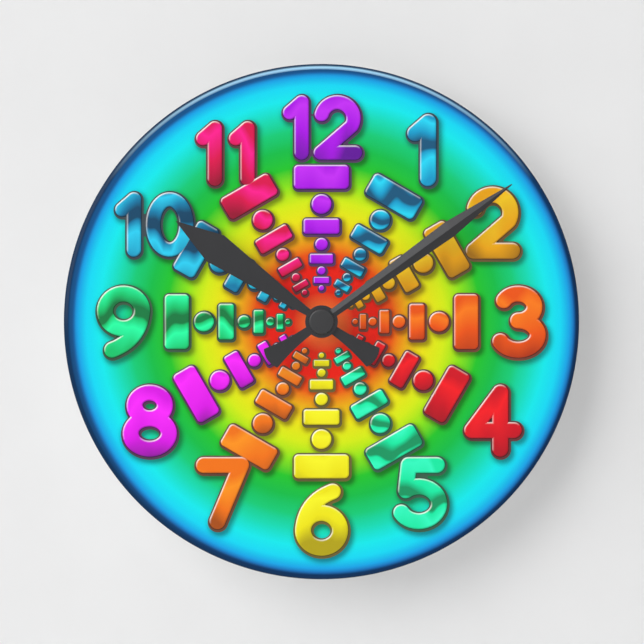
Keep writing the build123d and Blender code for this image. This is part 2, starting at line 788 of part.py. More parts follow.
with BuildPart() as setting_wheel:
    add_gear(setting_corners, setting_wheel_rear, setting_wheel_front)
    add_gear(setting_pinion_corners, setting_wheel_front, hour_wheel_front)
    add_round(setting_place, setting_arbor_diameter, knob_recess + seat_gap, setting_wheel_rear)
    add_round(setting_place, arbor_diameter, hour_wheel_front, pivot_front)

with BuildPart() as setting_knob:
    with BuildSketch(layer(knob_recess)):
        with Locations(setting_place):
            Circle(knob_diameter / 2)
            Circle(setting_arbor_diameter / 2 + press_gap, mode=Mode.SUBTRACT)
            with PolarLocations(knob_diameter / 2, knob_scallops):
                Circle(knob_scallop_diameter / 2, mode=Mode.SUBTRACT)
    extrude(amount=knob_thickness)

with BuildPart() as hour_wheel:
    add_gear(hour_corners, hour_wheel_rear, hour_wheel_front)
    add_round(centre, hour_pipe_diameter, hour_wheel_front, hour_pipe_front)
    hour_bore = minute_arbor_diameter + 2 * running_gap
    add_round(centre, hour_bore, hour_wheel_rear, hour_pipe_front, Mode.SUBTRACT)

# === Hands =====================================================================================
minute_grip = minute_arbor_diameter + 2 * press_gap
blade_root = hand_disc_diameter / 2 - blade_overlap


def add_tail(plane):
    """The counterweight behind the centre, with hollow flanks and a bowed end."""
    end = -tail_length + tail_end_bulge
    middle = (end - blade_root) / 2
    with BuildSketch(plane) as tail:
        with BuildLine():
            Line((-blade_root, -tail_root / 2), (-blade_root, tail_root / 2))
            ThreePointArc((-blade_root, tail_root / 2), (middle, tail_middle / 2), (end, tail_end / 2))
            ThreePointArc((end, tail_end / 2), (-tail_length, 0), (end, -tail_end / 2))
            ThreePointArc(
                (end, -tail_end / 2), (middle, -tail_middle / 2), (-blade_root, -tail_root / 2)
            )
        make_face()
        fillet(tail.vertices().sort_by(Axis.X)[:2], radius=tail_corner_radius)
    extrude(tail.sketch, amount=hand_thickness)


hour_plane = hand_plane(hour_hand_rear, hour_hand_angle)
with BuildPart() as hour_hand:
    with BuildSketch(hour_plane):
        with BuildLine():
            Polyline(
                (blade_root, -hour_neck / 2),
                (hour_widest_at, -hour_widest / 2),
                (hour_hand_length, 0),
                (hour_widest_at, hour_widest / 2),
                (blade_root, hour_neck / 2),
                close=True,
            )
        make_face()
        Circle(hand_disc_diameter / 2)
    extrude(amount=hand_thickness)
    add_tail(hour_plane)
    add_round(centre, hour_collar_diameter, hour_collar_rear, hour_hand_rear)
    hour_grip = hour_pipe_diameter + 2 * press_gap
    add_round(centre, hour_grip, hour_collar_rear, hour_pipe_front, Mode.SUBTRACT)

minute_plane = hand_plane(minute_hand_rear, minute_hand_angle)


def ridged_section(distance, width):
    """Section of the creased blade across the hand: two facets that rise to a ridge."""
    ridge = minute_ridge_slope * width / 2
    half = width / 2
    section_plane = Plane(
        origin=minute_plane.from_local_coords(Vector(distance, 0, 0)),
        x_dir=minute_plane.y_dir,
        z_dir=minute_plane.x_dir,
    )
    with BuildSketch(section_plane) as section:
        with BuildLine():
            Polyline(
                (-half, 0),
                (0, ridge),
                (half, 0),
                (half, hand_thickness),
                (0, hand_thickness + ridge),
                (-half, hand_thickness),
                close=True,
            )
        make_face()
    return section.sketch


with BuildPart() as minute_hand:
    loft(
        [
            ridged_section(blade_root, minute_neck),
            ridged_section(minute_widest_at, minute_widest),
            ridged_section(minute_hand_length, minute_tip_width),
        ],
        ruled=True,
    )
    with BuildSketch(minute_plane):
        Circle(hand_disc_diameter / 2)
    extrude(amount=hand_thickness)
    add_tail(minute_plane)
    add_round(centre, minute_collar_diameter, minute_collar_rear, minute_hand_rear)
    add_round(centre, minute_grip, minute_collar_rear, minute_hand_front, Mode.SUBTRACT)

with BuildPart() as centre_cap:
    add_round(centre, cap_diameter, minute_hand_front, cap_front)
    chamfer(centre_cap.edges().sort_by(Axis.Y)[0], length=cap_edge_chamfer)
    add_round(centre, minute_grip, minute_hand_front, minute_arbor_front, Mode.SUBTRACT)

os.makedirs("parts", exist_ok=True)
for name, piece in {
    "dial_disc": dial_disc,
    "rubber_gasket": rubber_gasket,
    "brass_washer": brass_washer,
    "hex_nut": hex_nut,
    "wall_hanger": wall_hanger,
    "movement_rear_case": movement_rear_case,
    "movement_front_cover": movement_front_cover,
    "gear_bridge": gear_bridge,
    "battery": battery,
    "positive_contact": positive_contact,
    "negative_contact": negative_contact,
    "stator_plate": stator_plate,
    "coil_core": coil_core,
    "coil_bobbin": coil_bobbin,
    "coil_winding": coil_winding,
    "circuit_board": circuit_board,
    "chip_cover": chip_cover,
    "quartz_crystal": quartz_crystal,
    "rotor_pinion": rotor_pinion,
    "rotor_magnet": rotor_magnet,
    "fifth_wheel": fifth_wheel,
    "fourth_wheel": fourth_wheel,
    "third_wheel": third_wheel,
    "centre_wheel": centre_wheel,
    "clutch_spring": clutch_spring,
    "minute_arbor": minute_arbor,
    "setting_wheel": setting_wheel,
    "setting_knob": setting_knob,
    "hour_wheel": hour_wheel,
    "hour_hand": hour_hand,
    "minute_hand": minute_hand,
    "centre_cap": centre_cap,
}.items():
    piece.part.label = name
    export_step(piece.part, f"parts/{name}.step")
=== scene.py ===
# %% [markdown]
# # A round acrylic wall clock, dressed in Blender
#
# The solid parts of this clock come from a CAD program: a printed disc, two hands, and a small
# quartz movement with its battery and gears. Here they get their looks. CAD is good at exact
# solids, and Blender is good at surfaces, light and colour, so each tool does what it does well.
#
# Every length in Blender is in metres. The clock hangs upright: +Z is up, the dial looks along
# -Y, and the wall is the plane y = 0. The hands turn about the Y axis.

import math

import bmesh
import bpy
import numpy as np
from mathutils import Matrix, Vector


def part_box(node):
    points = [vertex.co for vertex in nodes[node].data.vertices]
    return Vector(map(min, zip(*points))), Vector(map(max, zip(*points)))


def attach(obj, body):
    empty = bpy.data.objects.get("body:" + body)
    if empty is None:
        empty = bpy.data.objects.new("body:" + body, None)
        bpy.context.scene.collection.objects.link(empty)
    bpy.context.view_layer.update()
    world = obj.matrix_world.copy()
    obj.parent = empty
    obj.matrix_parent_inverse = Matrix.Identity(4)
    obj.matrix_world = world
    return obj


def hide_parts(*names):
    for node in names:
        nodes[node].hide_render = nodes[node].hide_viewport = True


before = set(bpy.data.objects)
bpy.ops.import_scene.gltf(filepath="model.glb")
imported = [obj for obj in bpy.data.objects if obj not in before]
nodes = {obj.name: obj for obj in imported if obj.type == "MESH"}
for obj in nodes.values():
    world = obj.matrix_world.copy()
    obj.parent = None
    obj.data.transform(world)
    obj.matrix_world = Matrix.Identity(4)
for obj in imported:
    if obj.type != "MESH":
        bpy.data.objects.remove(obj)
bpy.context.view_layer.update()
MM = 0.001
CASE, MINUTE, HOUR, SETTING = "case_and_dial", "minute_group", "hour_group", "setting_group"

# %% [markdown]
# ## Reading the sizes off the solids
#
# A number typed twice goes wrong sooner or later. The places that the new pieces need are read
# from the boxes of the solids: how far the dial's face stands in front of the wall, how wide the
# disc is, and so on. All are kept in millimetres, which suits a clock.

# %% Measure the solids
def span(node):
    """A solid's lowest and highest corners, in millimetres."""
    low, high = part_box(node)
    return np.array(low) / MM, np.array(high) / MM


dial_low, dial_high = span("dial_disc")
DIAL_RADIUS = dial_high[2]
DIAL_FRONT, DIAL_BACK = -dial_low[1], -dial_high[1]
BEVEL_WIDTH, BEVEL_DEPTH, DIAL_HOLE = 2.2, 1.2, 4.05
print(f"dial: radius {DIAL_RADIUS:.1f}, from {DIAL_BACK:.1f} to {DIAL_FRONT:.1f} mm off the wall")

# %% [markdown]
# ## The camera
#
# A product picture of a flat round thing is taken from straight in front, from far away and with
# a long lens, so that the disc stays a true circle and the hands hide as little as they can. The
# lens below sees 253.7 mm of the dial's plane from side to side.

# %% Camera
PICTURE_WIDTH, LENS, SENSOR = 253.7, 200.0, 36.0
AIM_X, AIM_Z = 0.2, -0.15
camera_data = bpy.data.cameras.new("camera")
camera_data.lens, camera_data.sensor_width = LENS, SENSOR
camera_data.clip_start, camera_data.clip_end = 0.05, 50.0
camera = bpy.data.objects.new("camera", camera_data)
bpy.context.scene.collection.objects.link(camera)
camera_distance = PICTURE_WIDTH * LENS / SENSOR
camera.location = (AIM_X * MM, -(DIAL_FRONT + camera_distance) * MM, AIM_Z * MM)
camera.rotation_euler = (math.pi / 2, 0, 0)
bpy.context.scene.camera = camera
bpy.context.scene.view_settings.view_transform = "Standard"
print(f"camera {camera_distance:.0f} mm in front of the dial")

# %% [markdown]
# ## Surfaces from arrays
#
# Every new piece is a grid: row after row of points, joined by four-sided faces. numpy works out
# all the points at once, and Blender takes the whole array in one go, which is far quicker than
# adding vertices one at a time. A grid can close on itself the long way round, as a turned piece
# does. An edge that turns by more than a given angle is marked sharp, so that flat faces stay
# flat and only real curves are shaded smooth.

# %% Grid helpers
def grid_faces(rows, columns, closed_rows=False, closed_columns=False):
    """Corners of each face of a rows x columns grid, four indices per face."""
    row = np.arange(rows if closed_rows else rows - 1)
    column = np.arange(columns if closed_columns else columns - 1)
    r, c = np.meshgrid(row, column, indexing="ij")
    right, down = (c + 1) % columns, (r + 1) % rows
    corners = [r * columns + c, r * columns + right, down * columns + right, down * columns + c]
    return np.stack(corners, -1).reshape(-1, 4)


def new_piece(name, points, faces, body, sharp_degrees=35):
    """A mesh object from points in millimetres, which moves with one of the clock's bodies."""
    mesh = bpy.data.meshes.new(name)
    mesh.from_pydata((np.asarray(points) * MM).reshape(-1, 3).tolist(), [], list(faces))
    mesh.polygons.foreach_set("use_smooth", np.ones(len(mesh.polygons), bool))
    mesh.set_sharp_from_angle(angle=math.radians(sharp_degrees))
    mesh.update()
    piece = bpy.data.objects.new(name, mesh)
    bpy.context.scene.collection.objects.link(piece)
    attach(piece, body)
    return piece


AXES = {  # two directions square to the axis, then the axis, right-handed in that order
    "off the wall": np.array([(1, 0, 0), (0, 0, 1), (0, -1, 0)], float),
    "to the right": np.array([(0, 1, 0), (0, 0, 1), (1, 0, 0)], float),
}


def lathe(name, profile, body, turns=256, centre=(0, 0, 0), axis="off the wall", sharp_degrees=35):
    """A turned piece. The profile is a closed loop of (radius, distance along the axis).

    Each point of the loop is carried round the axis: p = c + r sin(t) u + r cos(t) v + d w, where
    u, v and w are the directions of the axis' frame. Where the loop touches the axis its points
    fall together, and are welded into one.
    """
    profile = np.asarray(profile, float)
    angle = np.linspace(0, 2 * np.pi, turns, endpoint=False)
    radius, along = profile[:, :1], profile[:, 1:]
    local = [radius * np.sin(angle), radius * np.cos(angle), along + 0 * angle]
    points = (np.stack(local, -1) @ AXES[axis] + centre).reshape(-1, 3)
    faces = grid_faces(len(profile), turns, True, True)
    weld = np.arange(len(points))
    on_axis = np.repeat(profile[:, 0] < 1e-6, turns)
    weld[on_axis] -= weld[on_axis] % turns
    faces = [list(dict.fromkeys(face)) for face in weld[faces].tolist()]
    faces = [face for face in faces if len(face) > 2]
    used = np.unique(np.concatenate(faces)) if on_axis.any() else weld
    place = np.zeros(len(points), int)
    place[used] = np.arange(len(used))
    faces = [place[face].tolist() for face in faces]
    return new_piece(name, points[used], faces, body, sharp_degrees)


def arc_points(centre, radius_x, radius_y, start, end, count):
    """Points of an elliptical arc between two angles in degrees: c + (rx cos t, ry sin t)."""
    t = np.radians(np.linspace(start, end, count))
    return np.stack([centre[0] + radius_x * np.cos(t), centre[1] + radius_y * np.sin(t)], -1)


print("helpers ready")

# %% [markdown]
# ## Finishes from nodes
#
# A material is a small machine that answers one question for every point of a surface: what does
# light do here? The Principled shader does the optics. What makes plastic look like plastic is
# what is plugged into it: a slight unevenness in colour, in polish and in height. One helper
# makes that unevenness from a noise pattern, and every finish below sets its own scale for it.

# %% Material helpers
def linear(red, green, blue):
    """A screen colour, 0 to 255 a channel, as the linear light that shaders count in."""
    value = np.array([red, green, blue]) / 255
    light = np.where(value <= 0.04045, value / 12.92, ((value + 0.055) / 1.055) ** 2.4)
    return (*light.tolist(), 1.0)


def shader(name, **settings):
    """A new Principled material with numbers and colours set on the shader's own sockets."""
    material = bpy.data.materials.new(name)
    material.use_nodes = True
    principled = material.node_tree.nodes["Principled BSDF"]
    for socket, value in settings.items():
        principled.inputs[socket.replace("_", " ")].default_value = value
    return material, material.node_tree, principled


def node(tree, kind, **values):
    """A node of a tree. Values whose names are inputs are set there, the others on the node."""
    made = tree.nodes.new(kind)
    for key, value in values.items():
        if hasattr(made, key):
            setattr(made, key, value)
        else:
            made.inputs[key.replace("_", " ")].default_value = value
    return made


def own_place(tree):
    """The point's place in the object's own space, as outputs X, Y and Z."""
    split = node(tree, "ShaderNodeSeparateXYZ")
    tree.links.new(node(tree, "ShaderNodeTexCoord").outputs["Object"], split.inputs[0])
    return split.outputs


def object_noise(tree, scale, detail=3.0, stretch=(1, 1, 1)):
    """Noise in the object's own space, so it stays put on the piece when the piece moves."""
    place = node(tree, "ShaderNodeTexCoord")
    mapping = node(tree, "ShaderNodeMapping", Scale=stretch)
    noise = node(tree, "ShaderNodeTexNoise", Scale=scale, Detail=detail)
    tree.links.new(place.outputs["Object"], mapping.inputs["Vector"])
    tree.links.new(mapping.outputs["Vector"], noise.inputs["Vector"])
    return noise.outputs["Fac"]


def between(tree, factor, low, high, start=0.0, end=1.0):
    """A number that slides from low to high as the factor goes from start to end."""
    spread = node(tree, "ShaderNodeMapRange", From_Min=start, From_Max=end, To_Min=low, To_Max=high)
    tree.links.new(factor, spread.inputs["Value"])
    return spread.outputs["Result"]


def combined(tree, first, second, operation, third=0.0):
    """Numbers, each plain or another node's output, joined by one arithmetic step."""
    step = node(tree, "ShaderNodeMath", operation=operation)
    for socket, value in zip(step.inputs, (first, second, third)):
        if isinstance(value, bpy.types.NodeSocket):
            tree.links.new(value, socket)
        else:
            socket.default_value = value
    return step.outputs[0]


def blend_colours(tree, factor, first, second, mode="MIX"):
    """Mix two colours, each a tuple or another node's output, by a factor."""
    mix = node(tree, "ShaderNodeMix", data_type="RGBA", blend_type=mode)
    for socket, value in zip((0, 6, 7), (factor, first, second)):
        if isinstance(value, bpy.types.NodeSocket):
            tree.links.new(value, mix.inputs[socket])
        else:
            mix.inputs[socket].default_value = value
    return mix.outputs[2]


def uneven(tree, principled, colour, other, scale, polish, height, stretch=(1, 1, 1)):
    """Plug noise into colour, roughness (a low and a high value) and bump (metres high)."""
    broad = object_noise(tree, scale * 0.12, 2.0, stretch)
    fine = object_noise(tree, scale, 4.0, stretch)
    tint = blend_colours(tree, between(tree, broad, 0, 1, 0.3, 0.7), colour, other)
    tree.links.new(tint, principled.inputs["Base Color"])
    tree.links.new(between(tree, fine, *polish, 0.3, 0.7), principled.inputs["Roughness"])
    bump = node(tree, "ShaderNodeBump", Strength=1.0, Distance=height)
    tree.links.new(fine, bump.inputs["Height"])
    tree.links.new(bump.outputs["Normal"], principled.inputs["Normal"])


def finish(name, colour, other, scale, polish, height, stretch=(1, 1, 1), **settings):
    """A whole material: base colour, a second tint, grain scale, polish range, grain height."""
    material, tree, principled = shader(name, **settings)
    uneven(tree, principled, linear(*colour), linear(*other), scale, polish, height, stretch)
    return material


def dress(piece, *materials):
    """Give a piece its materials, the first one for every face."""
    piece.data.materials.clear()
    for material in materials:
        piece.data.materials.append(material)


print("material helpers ready")

# %% [markdown]
# ## The studio: a wall, a floor and soft light
#
# The clock hangs on a plain pale wall that runs down into a floor in one curved sheet, as the
# paper roll in a photographer's studio does. Its side profile is two straight runs joined by a
# quarter circle, and the sheet is that profile carried sideways. It stands a hair's breadth behind
# the clock, so that no two faces lie in one plane. Seen from behind, the sheet lets the eye and
# the lamps through, so that the back of the clock can be looked at as well. Reflections go through
# it too. Only the first step of a light path may reach a lamp that way, or light from behind would
# creep round between the clock and the wall and brighten the shadow in front.

# %% Backdrop
BEHIND_CLOCK = 0.3 * MM


def backdrop_profile(top=1.6, drop=0.62, bend=0.35, reach=2.6, count=24):
    """(y, z) down the wall, round a quarter circle, and out along the floor."""
    t = np.linspace(0, np.pi / 2, count)
    bend_y, bend_z = -bend + bend * np.cos(t), -drop + bend - bend * np.sin(t)
    y = np.concatenate([[0.0], bend_y, [-reach]]) + BEHIND_CLOCK
    z = np.concatenate([[top], bend_z, [-drop]])
    return y, z


profile_y, profile_z = backdrop_profile()
across = np.linspace(-2.4, 2.4, 9)
sheet_y, sheet_x = np.meshgrid(profile_y, across, indexing="ij")
sheet_z = np.meshgrid(profile_z, across, indexing="ij")[0]
sheet_mesh = bpy.data.meshes.new("studio_sheet")
sheet_points = np.stack([sheet_x, sheet_y, sheet_z], -1).reshape(-1, 3)
sheet_mesh.from_pydata(sheet_points.tolist(), [], grid_faces(*sheet_x.shape)[:, ::-1].tolist())
sheet_mesh.polygons.foreach_set("use_smooth", np.ones(len(sheet_mesh.polygons), bool))
studio_sheet = bpy.data.objects.new("studio_sheet", sheet_mesh)
bpy.context.scene.collection.objects.link(studio_sheet)
print("sheet faces the room:", sheet_mesh.polygons[0].normal.y < 0)

# %% Backdrop material
FIRST_STEP = 1.5  # a ray depth under this is a path's first step
wall_paint, tree, principled = shader("wall_paint", Roughness=0.9, Specular_IOR_Level=0.1)
uneven(tree, principled, linear(231, 231, 231), linear(229, 229, 229), 220, (0.85, 0.95), 2e-5)
from_behind = node(tree, "ShaderNodeNewGeometry").outputs["Backfacing"]
path = node(tree, "ShaderNodeLightPath").outputs
first_step = combined(tree, path["Ray Depth"], FIRST_STEP, "LESS_THAN")
to_a_lamp = combined(tree, path["Is Shadow Ray"], first_step, "MULTIPLY")
lets_through = combined(tree, from_behind, to_a_lamp, "MAXIMUM")
lets_through = combined(tree, lets_through, path["Is Glossy Ray"], "MAXIMUM")
clear = node(tree, "ShaderNodeBsdfTransparent")
one_way = node(tree, "ShaderNodeMixShader")
tree.links.new(lets_through, one_way.inputs[0])
tree.links.new(principled.outputs[0], one_way.inputs[1])
tree.links.new(clear.outputs[0], one_way.inputs[2])
tree.links.new(one_way.outputs[0], tree.nodes["Material Output"].inputs["Surface"])
dress(studio_sheet, wall_paint)
print("wall painted")

# %% [markdown]
# ## Lamps
#
# Two lamps do the main work. One shines from where the camera stands, so its shadows hide behind
# the clock; it is left out of reflections, or it would show as a square in the glossy dial. The
# other is a very wide soft box up and to the left: every raised edge is bright on that side, and
# the disc throws one broad, pale shadow down and to the right. A third lamp shows in reflections
# only, and gives the upper slope of the creased hand its paler tone. A small lamp overhead and
# one behind the wall add a little, and the pale world fills in the rest.

# %% Lamps and world
def area_lamp(name, place, size, power, look_at=(0, 0, 0)):
    """A square lamp that faces a point."""
    data = bpy.data.lights.new(name, "AREA")
    data.size, data.energy = size, power
    lamp = bpy.data.objects.new(name, data)
    lamp.location = place
    lamp.rotation_euler = (Vector(look_at) - Vector(place)).to_track_quat("-Z", "Y").to_euler()
    bpy.context.scene.collection.objects.link(lamp)
    return lamp


front_lamp = area_lamp("front_lamp", (0, -3.0, 0), 0.15, 29)
front_lamp.visible_glossy = False
area_lamp("side_lamp", (-3.5, -3.6, 2.2), 4.8, 214)
area_lamp("top_lamp", (-0.2, -0.8, 1.25), 0.4, 1.5)
glint_lamp = area_lamp("glint_lamp", (-0.9, -2.8, 1.3), 0.9, 10)
glint_lamp.visible_diffuse = False
area_lamp("back_lamp", (0.7, 1.7, 0.8), 1.2, 19)

world = bpy.data.worlds.new("studio_world")
bpy.context.scene.world = world
world.use_nodes = True
tree = world.node_tree
sky = tree.nodes["Background"]
sky.inputs["Color"].default_value = linear(240, 241, 243)
path = node(tree, "ShaderNodeLightPath").outputs
any_of = path["Is Camera Ray"]
for ray in ("Is Glossy Ray", "Is Transmission Ray"):
    any_of = combined(tree, any_of, path[ray], "MAXIMUM")
WORLD_AS_LIGHT, WORLD_AS_SEEN = 0.1, 1.0
tree.links.new(between(tree, any_of, WORLD_AS_LIGHT, WORLD_AS_SEEN), sky.inputs["Strength"])

# %% [markdown]
# ## Shapes from distances
#
# The hour marks are printed and stand a little proud of the dial, and their light and shade are
# painted on as well: a painted highlight, bright, on the edge where light would strike, painted
# shade, dark, on the edge where it would not, a thin outline, and a painted soft shadow on the
# ground colour. All four follow from one number, the distance from a point to the edge of the
# shape, counted negative inside. A numeral is a brush stroke of constant width along a few lines
# and curves, so its distance is the distance to those lines less half the width. That is simpler
# than tracing a typeface, and it gives every mark on the dial the same round-cornered look.

# %% Strokes of the numerals
def bend(start, control, end, count=14):
    """A curve that starts and ends at two points and leans towards a third between them."""
    t = np.linspace(0, 1, count)[:, None]
    a, b, c = np.array(start), np.array(control), np.array(end)
    return (1 - t) ** 2 * a + 2 * t * (1 - t) * b + t**2 * c


SIX = [
    arc_points((0.33, 0.31), 0.33, 0.31, 0, 360, 40),
    bend((0.53, 1.0), (0.04, 0.82), (0.0, 0.31)),
]
STROKES = {
    "0": [arc_points((0.33, 0.5), 0.33, 0.5, 0, 360, 48)],
    "1": [np.array([(0.04, 0.8), (0.27, 1.0), (0.27, 0.0)])],
    "2": [
        np.concatenate([arc_points((0.33, 0.68), 0.32, 0.32, 165, -28, 24), [(0, 0), (0.68, 0)]])
    ],
    "3": [
        arc_points((0.3, 0.76), 0.29, 0.24, 150, -90, 24),
        arc_points((0.3, 0.26), 0.35, 0.26, 90, -155, 26),
    ],
    "4": [np.array([(0.5, 0.0), (0.5, 1.0), (0.0, 0.33), (0.74, 0.33)])],
    "5": [
        np.concatenate([
            [(0.62, 1.0), (0.12, 1.0), (0.07, 0.55)],
            arc_points((0.3, 0.31), 0.36, 0.31, 118, -150, 28),
        ])
    ],
    "6": SIX,
    "7": [np.array([(0.0, 1.0), (0.66, 1.0), (0.24, 0.0)])],
    "8": [
        arc_points((0.33, 0.77), 0.27, 0.23, 0, 360, 36),
        arc_points((0.33, 0.27), 0.34, 0.27, 0, 360, 40),
    ],
    "9": [np.array([0.66, 1.0]) - line for line in SIX],
}
STROKE, DIGIT_GAP = 0.155, 0.07
print("strokes for", "".join(STROKES))


# %% Distance functions
def distance_to_lines(points, lines):
    """Distance from each point to the nearest of many straight pieces a-b.

    The nearest point of a piece is a + s (b - a), with s = (p - a).(b - a) / |b - a|^2 held
    between 0 and 1.
    """
    start = np.concatenate([line[:-1] for line in lines])
    along = np.concatenate([line[1:] - line[:-1] for line in lines])
    reach = points[:, None] - start
    s = np.clip((reach * along).sum(-1) / ((along**2).sum(-1) + 1e-12), 0, 1)
    return np.linalg.norm(reach - s[..., None] * along, axis=-1).min(1)


def digit_lines(text, height, centre):
    """The strokes of a number in millimetres, as high as asked, round a centre point."""
    placed, pen = [], 0.0
    for digit in text:
        width = max(line[:, 0].max() for line in STROKES[digit])
        placed += [line + np.array([pen, 0.0]) for line in STROKES[digit]]
        pen += width + 2 * STROKE + DIGIT_GAP
    wide = pen - 2 * STROKE - DIGIT_GAP
    scale = height / (1 + 2 * STROKE)
    return [(line - np.array([wide / 2, 0.5])) * scale + centre for line in placed], scale


def number_shape(text, height, centre):
    """A number as a distance function of points (x, z)."""
    lines, scale = digit_lines(text, height, np.array(centre))
    return lambda points: distance_to_lines(points, lines) - STROKE * scale


def bar_shape(centre, direction, half_long, half_wide, corner):
    """A round-cornered bar that lies square to a direction from the dial's centre.

    Outside a box the distance is the length of (|p| - half size, not under 0), and the round
    corner takes its radius off that.
    """
    turn = math.radians(direction)
    out = np.array([math.sin(turn), math.cos(turn)])
    side = np.array([math.cos(turn), -math.sin(turn)])

    def distance(points):
        local = np.stack([(points - centre) @ side, (points - centre) @ out], -1)
        beyond = np.abs(local) - np.array([half_long - corner, half_wide - corner])
        outside = np.hypot(*np.maximum(beyond, 0).T)
        return outside + np.minimum(beyond.max(1), 0) - corner

    return distance


print("distance functions ready")

# %% [markdown]
# ## From distance to surface
#
# A square grid is laid over the shape and each grid point asks for its distance. Points close to
# the edge are slid along the slope of the distance until they lie on it exactly, which turns the
# staircase of a grid into a clean outline. Points inside rise from the dial in a soft shoulder.
# Three numbers go along on every vertex for the material to use: how deep inside the edge it
# lies, how squarely that edge faces the painted light, which comes from up and to the left, and
# how high up the mark it is.

# %% The printed mark
# Where the painted highlights and shade on the marks' edges come from: up and to the left.
LIGHT_FROM = np.array([-0.5, 0.866])
RELIEF, LEAST_RISE, CELL = 0.24, 0.03, 0.36


def slope(shape, points, step=0.02):
    """The direction in which the distance grows, by small steps in x and z."""
    x = np.array([step, 0.0])
    z = np.array([0.0, step])
    rise = np.stack([shape(points + x) - shape(points - x), shape(points + z) - shape(points - z)])
    return (rise / (np.hypot(*rise) + 1e-12)).T


def snapped_grid(shape, centre, half_size, cell, grow=0.0):
    """Points on and inside a shape, with the edge points slid onto the edge, and the faces."""
    ticks_x = np.arange(-half_size[0], half_size[0] + cell, cell)
    ticks_z = np.arange(-half_size[1], half_size[1] + cell, cell)
    z, x = np.meshgrid(ticks_z, ticks_x, indexing="ij")
    points = np.stack([x, z], -1).reshape(-1, 2) + centre
    for _ in range(3):
        away = shape(points) - grow
        near = np.abs(away) < cell * 0.75
        points[near] -= slope(shape, points[near]) * away[near, None]
    inside = shape(points) - grow < cell * 0.05
    faces = grid_faces(len(ticks_z), len(ticks_x))
    faces = faces[inside[faces].all(1)]
    used, faces = np.unique(faces, return_inverse=True)
    return points[used], faces.reshape(-1, 4)


def rim_edges(faces):
    """Edges that belong to one face only, each in the direction in which that face runs."""
    edges = np.concatenate([faces[:, [i, (i + 1) % 4]] for i in range(4)])
    keys = np.sort(edges, 1)
    _, first, count = np.unique(keys, axis=0, return_index=True, return_counts=True)
    return edges[first[count == 1]]


def printed_mark(name, shapes, base, relief, grow=0.0, shift=(0.0, 0.0)):
    """One piece from several shapes: a raised top, a skirt down to the dial, and a flat bottom.

    Height above the base is relief (1 - (1 - depth)^2) and a least rise, depth being the distance
    in from the edge as a share of the shoulder's width, not over 1.
    """
    all_points, all_faces, start = [], [], 0
    deep, facing, level = [], [], []
    for shape, centre, half_size, shoulder in shapes:
        cell = min(CELL, shoulder / 2.6)
        points, faces = snapped_grid(shape, np.array(centre), half_size, cell, grow)
        depth = np.clip((grow - shape(points)) / shoulder, 0, 1)
        lit = slope(shape, points) @ LIGHT_FROM
        rise = relief * (1 - (1 - depth) ** 2) + LEAST_RISE
        top = np.stack([points[:, 0], -(base + rise), points[:, 1]], -1)
        bottom = np.stack([points[:, 0], np.full(len(points), -base), points[:, 1]], -1)
        rim = rim_edges(faces)
        skirt = np.stack([rim[:, 1], rim[:, 0], rim[:, 0] + len(top), rim[:, 1] + len(top)], -1)
        all_points += [top, bottom]
        all_faces += [faces + start, faces[:, ::-1] + len(top) + start, skirt + start]
        deep += [depth, np.zeros(len(bottom))]
        facing += [lit, lit]
        level += [(points[:, 1] - centre[1]) / half_size[1]] * 2
        start += 2 * len(top)
    points = np.concatenate(all_points) + np.array([shift[0], 0.0, shift[1]])
    piece = new_piece(name, points, np.concatenate(all_faces).tolist(), CASE, 50)
    for label, values in (("depth", deep), ("facing", facing), ("level", level)):
        attribute = piece.data.attributes.new(label, "FLOAT", "POINT")
        attribute.data.foreach_set("value", np.concatenate(values).astype(np.float32))
    return piece


print("marks can be printed")

# %% [markdown]
# ## The twelve hours
#
# Each hour has a plain upright number near the rim, and an arm of plain marks behind it that
# shrink towards the centre: bars and dots in turn, each four fifths as far out as the one before.
# That keeps the arms of twelve neighbours from running into each other however small they get.

# %% Lay out the marks
ONE_DIGIT, TWO_DIGITS = (78.0, 29.0), (76.5, 26.0)  # distance from the centre, height
ARM_START, ARM_RATIO, ARM_COUNT = 57.0, 0.812, 8
DOT, BAR_LONG, BAR_WIDE, BAR_CORNER = 0.09, 0.195, 0.088, 0.035  # as shares of the distance
SHOULDER, SHOULDER_SHARE = 0.9, 0.35


def hour_shapes(hour):
    """Every shape of one hour: distance function, centre, half size of its box, shoulder."""
    direction = 30.0 * hour
    out = np.array([math.sin(math.radians(direction)), math.cos(math.radians(direction))])
    text = str(hour)
    radius, height = ONE_DIGIT if len(text) == 1 else TWO_DIGITS
    centre = out * radius
    half_size = (height * 0.4 * len(text) + 2.0, height / 2 + 1.5)
    shapes = [(number_shape(text, height, centre), centre, half_size, SHOULDER)]
    for step in range(ARM_COUNT):
        radius = ARM_START * ARM_RATIO**step
        centre = out * radius
        shares = (DOT, DOT, DOT) if step % 2 else (BAR_LONG, BAR_WIDE, BAR_CORNER)
        half_long, half_wide, corner = (share * radius for share in shares)
        reach = math.hypot(half_long, half_wide) + 1.0
        bar = bar_shape(centre, direction, half_long, half_wide, corner)
        shapes.append((bar, centre, (reach, reach), min(SHOULDER, SHOULDER_SHARE * half_wide)))
    return shapes


HOURS = {hour: hour_shapes(hour) for hour in range(1, 13)}
print(sum(len(shapes) for shapes in HOURS.values()), "marks on the dial")

# %% [markdown]
# ## The disc
#
# The dial is a sheet of clear-coated acrylic with its colours printed on it and its edge rounded
# over. It is one turned piece: the profile runs out across the face, over the rounded edge, down
# the side and back across the rear. The face has many rings because it carries a soft shadow
# beside every mark, and a shadow stored on the vertices can only be as fine as the vertices are.

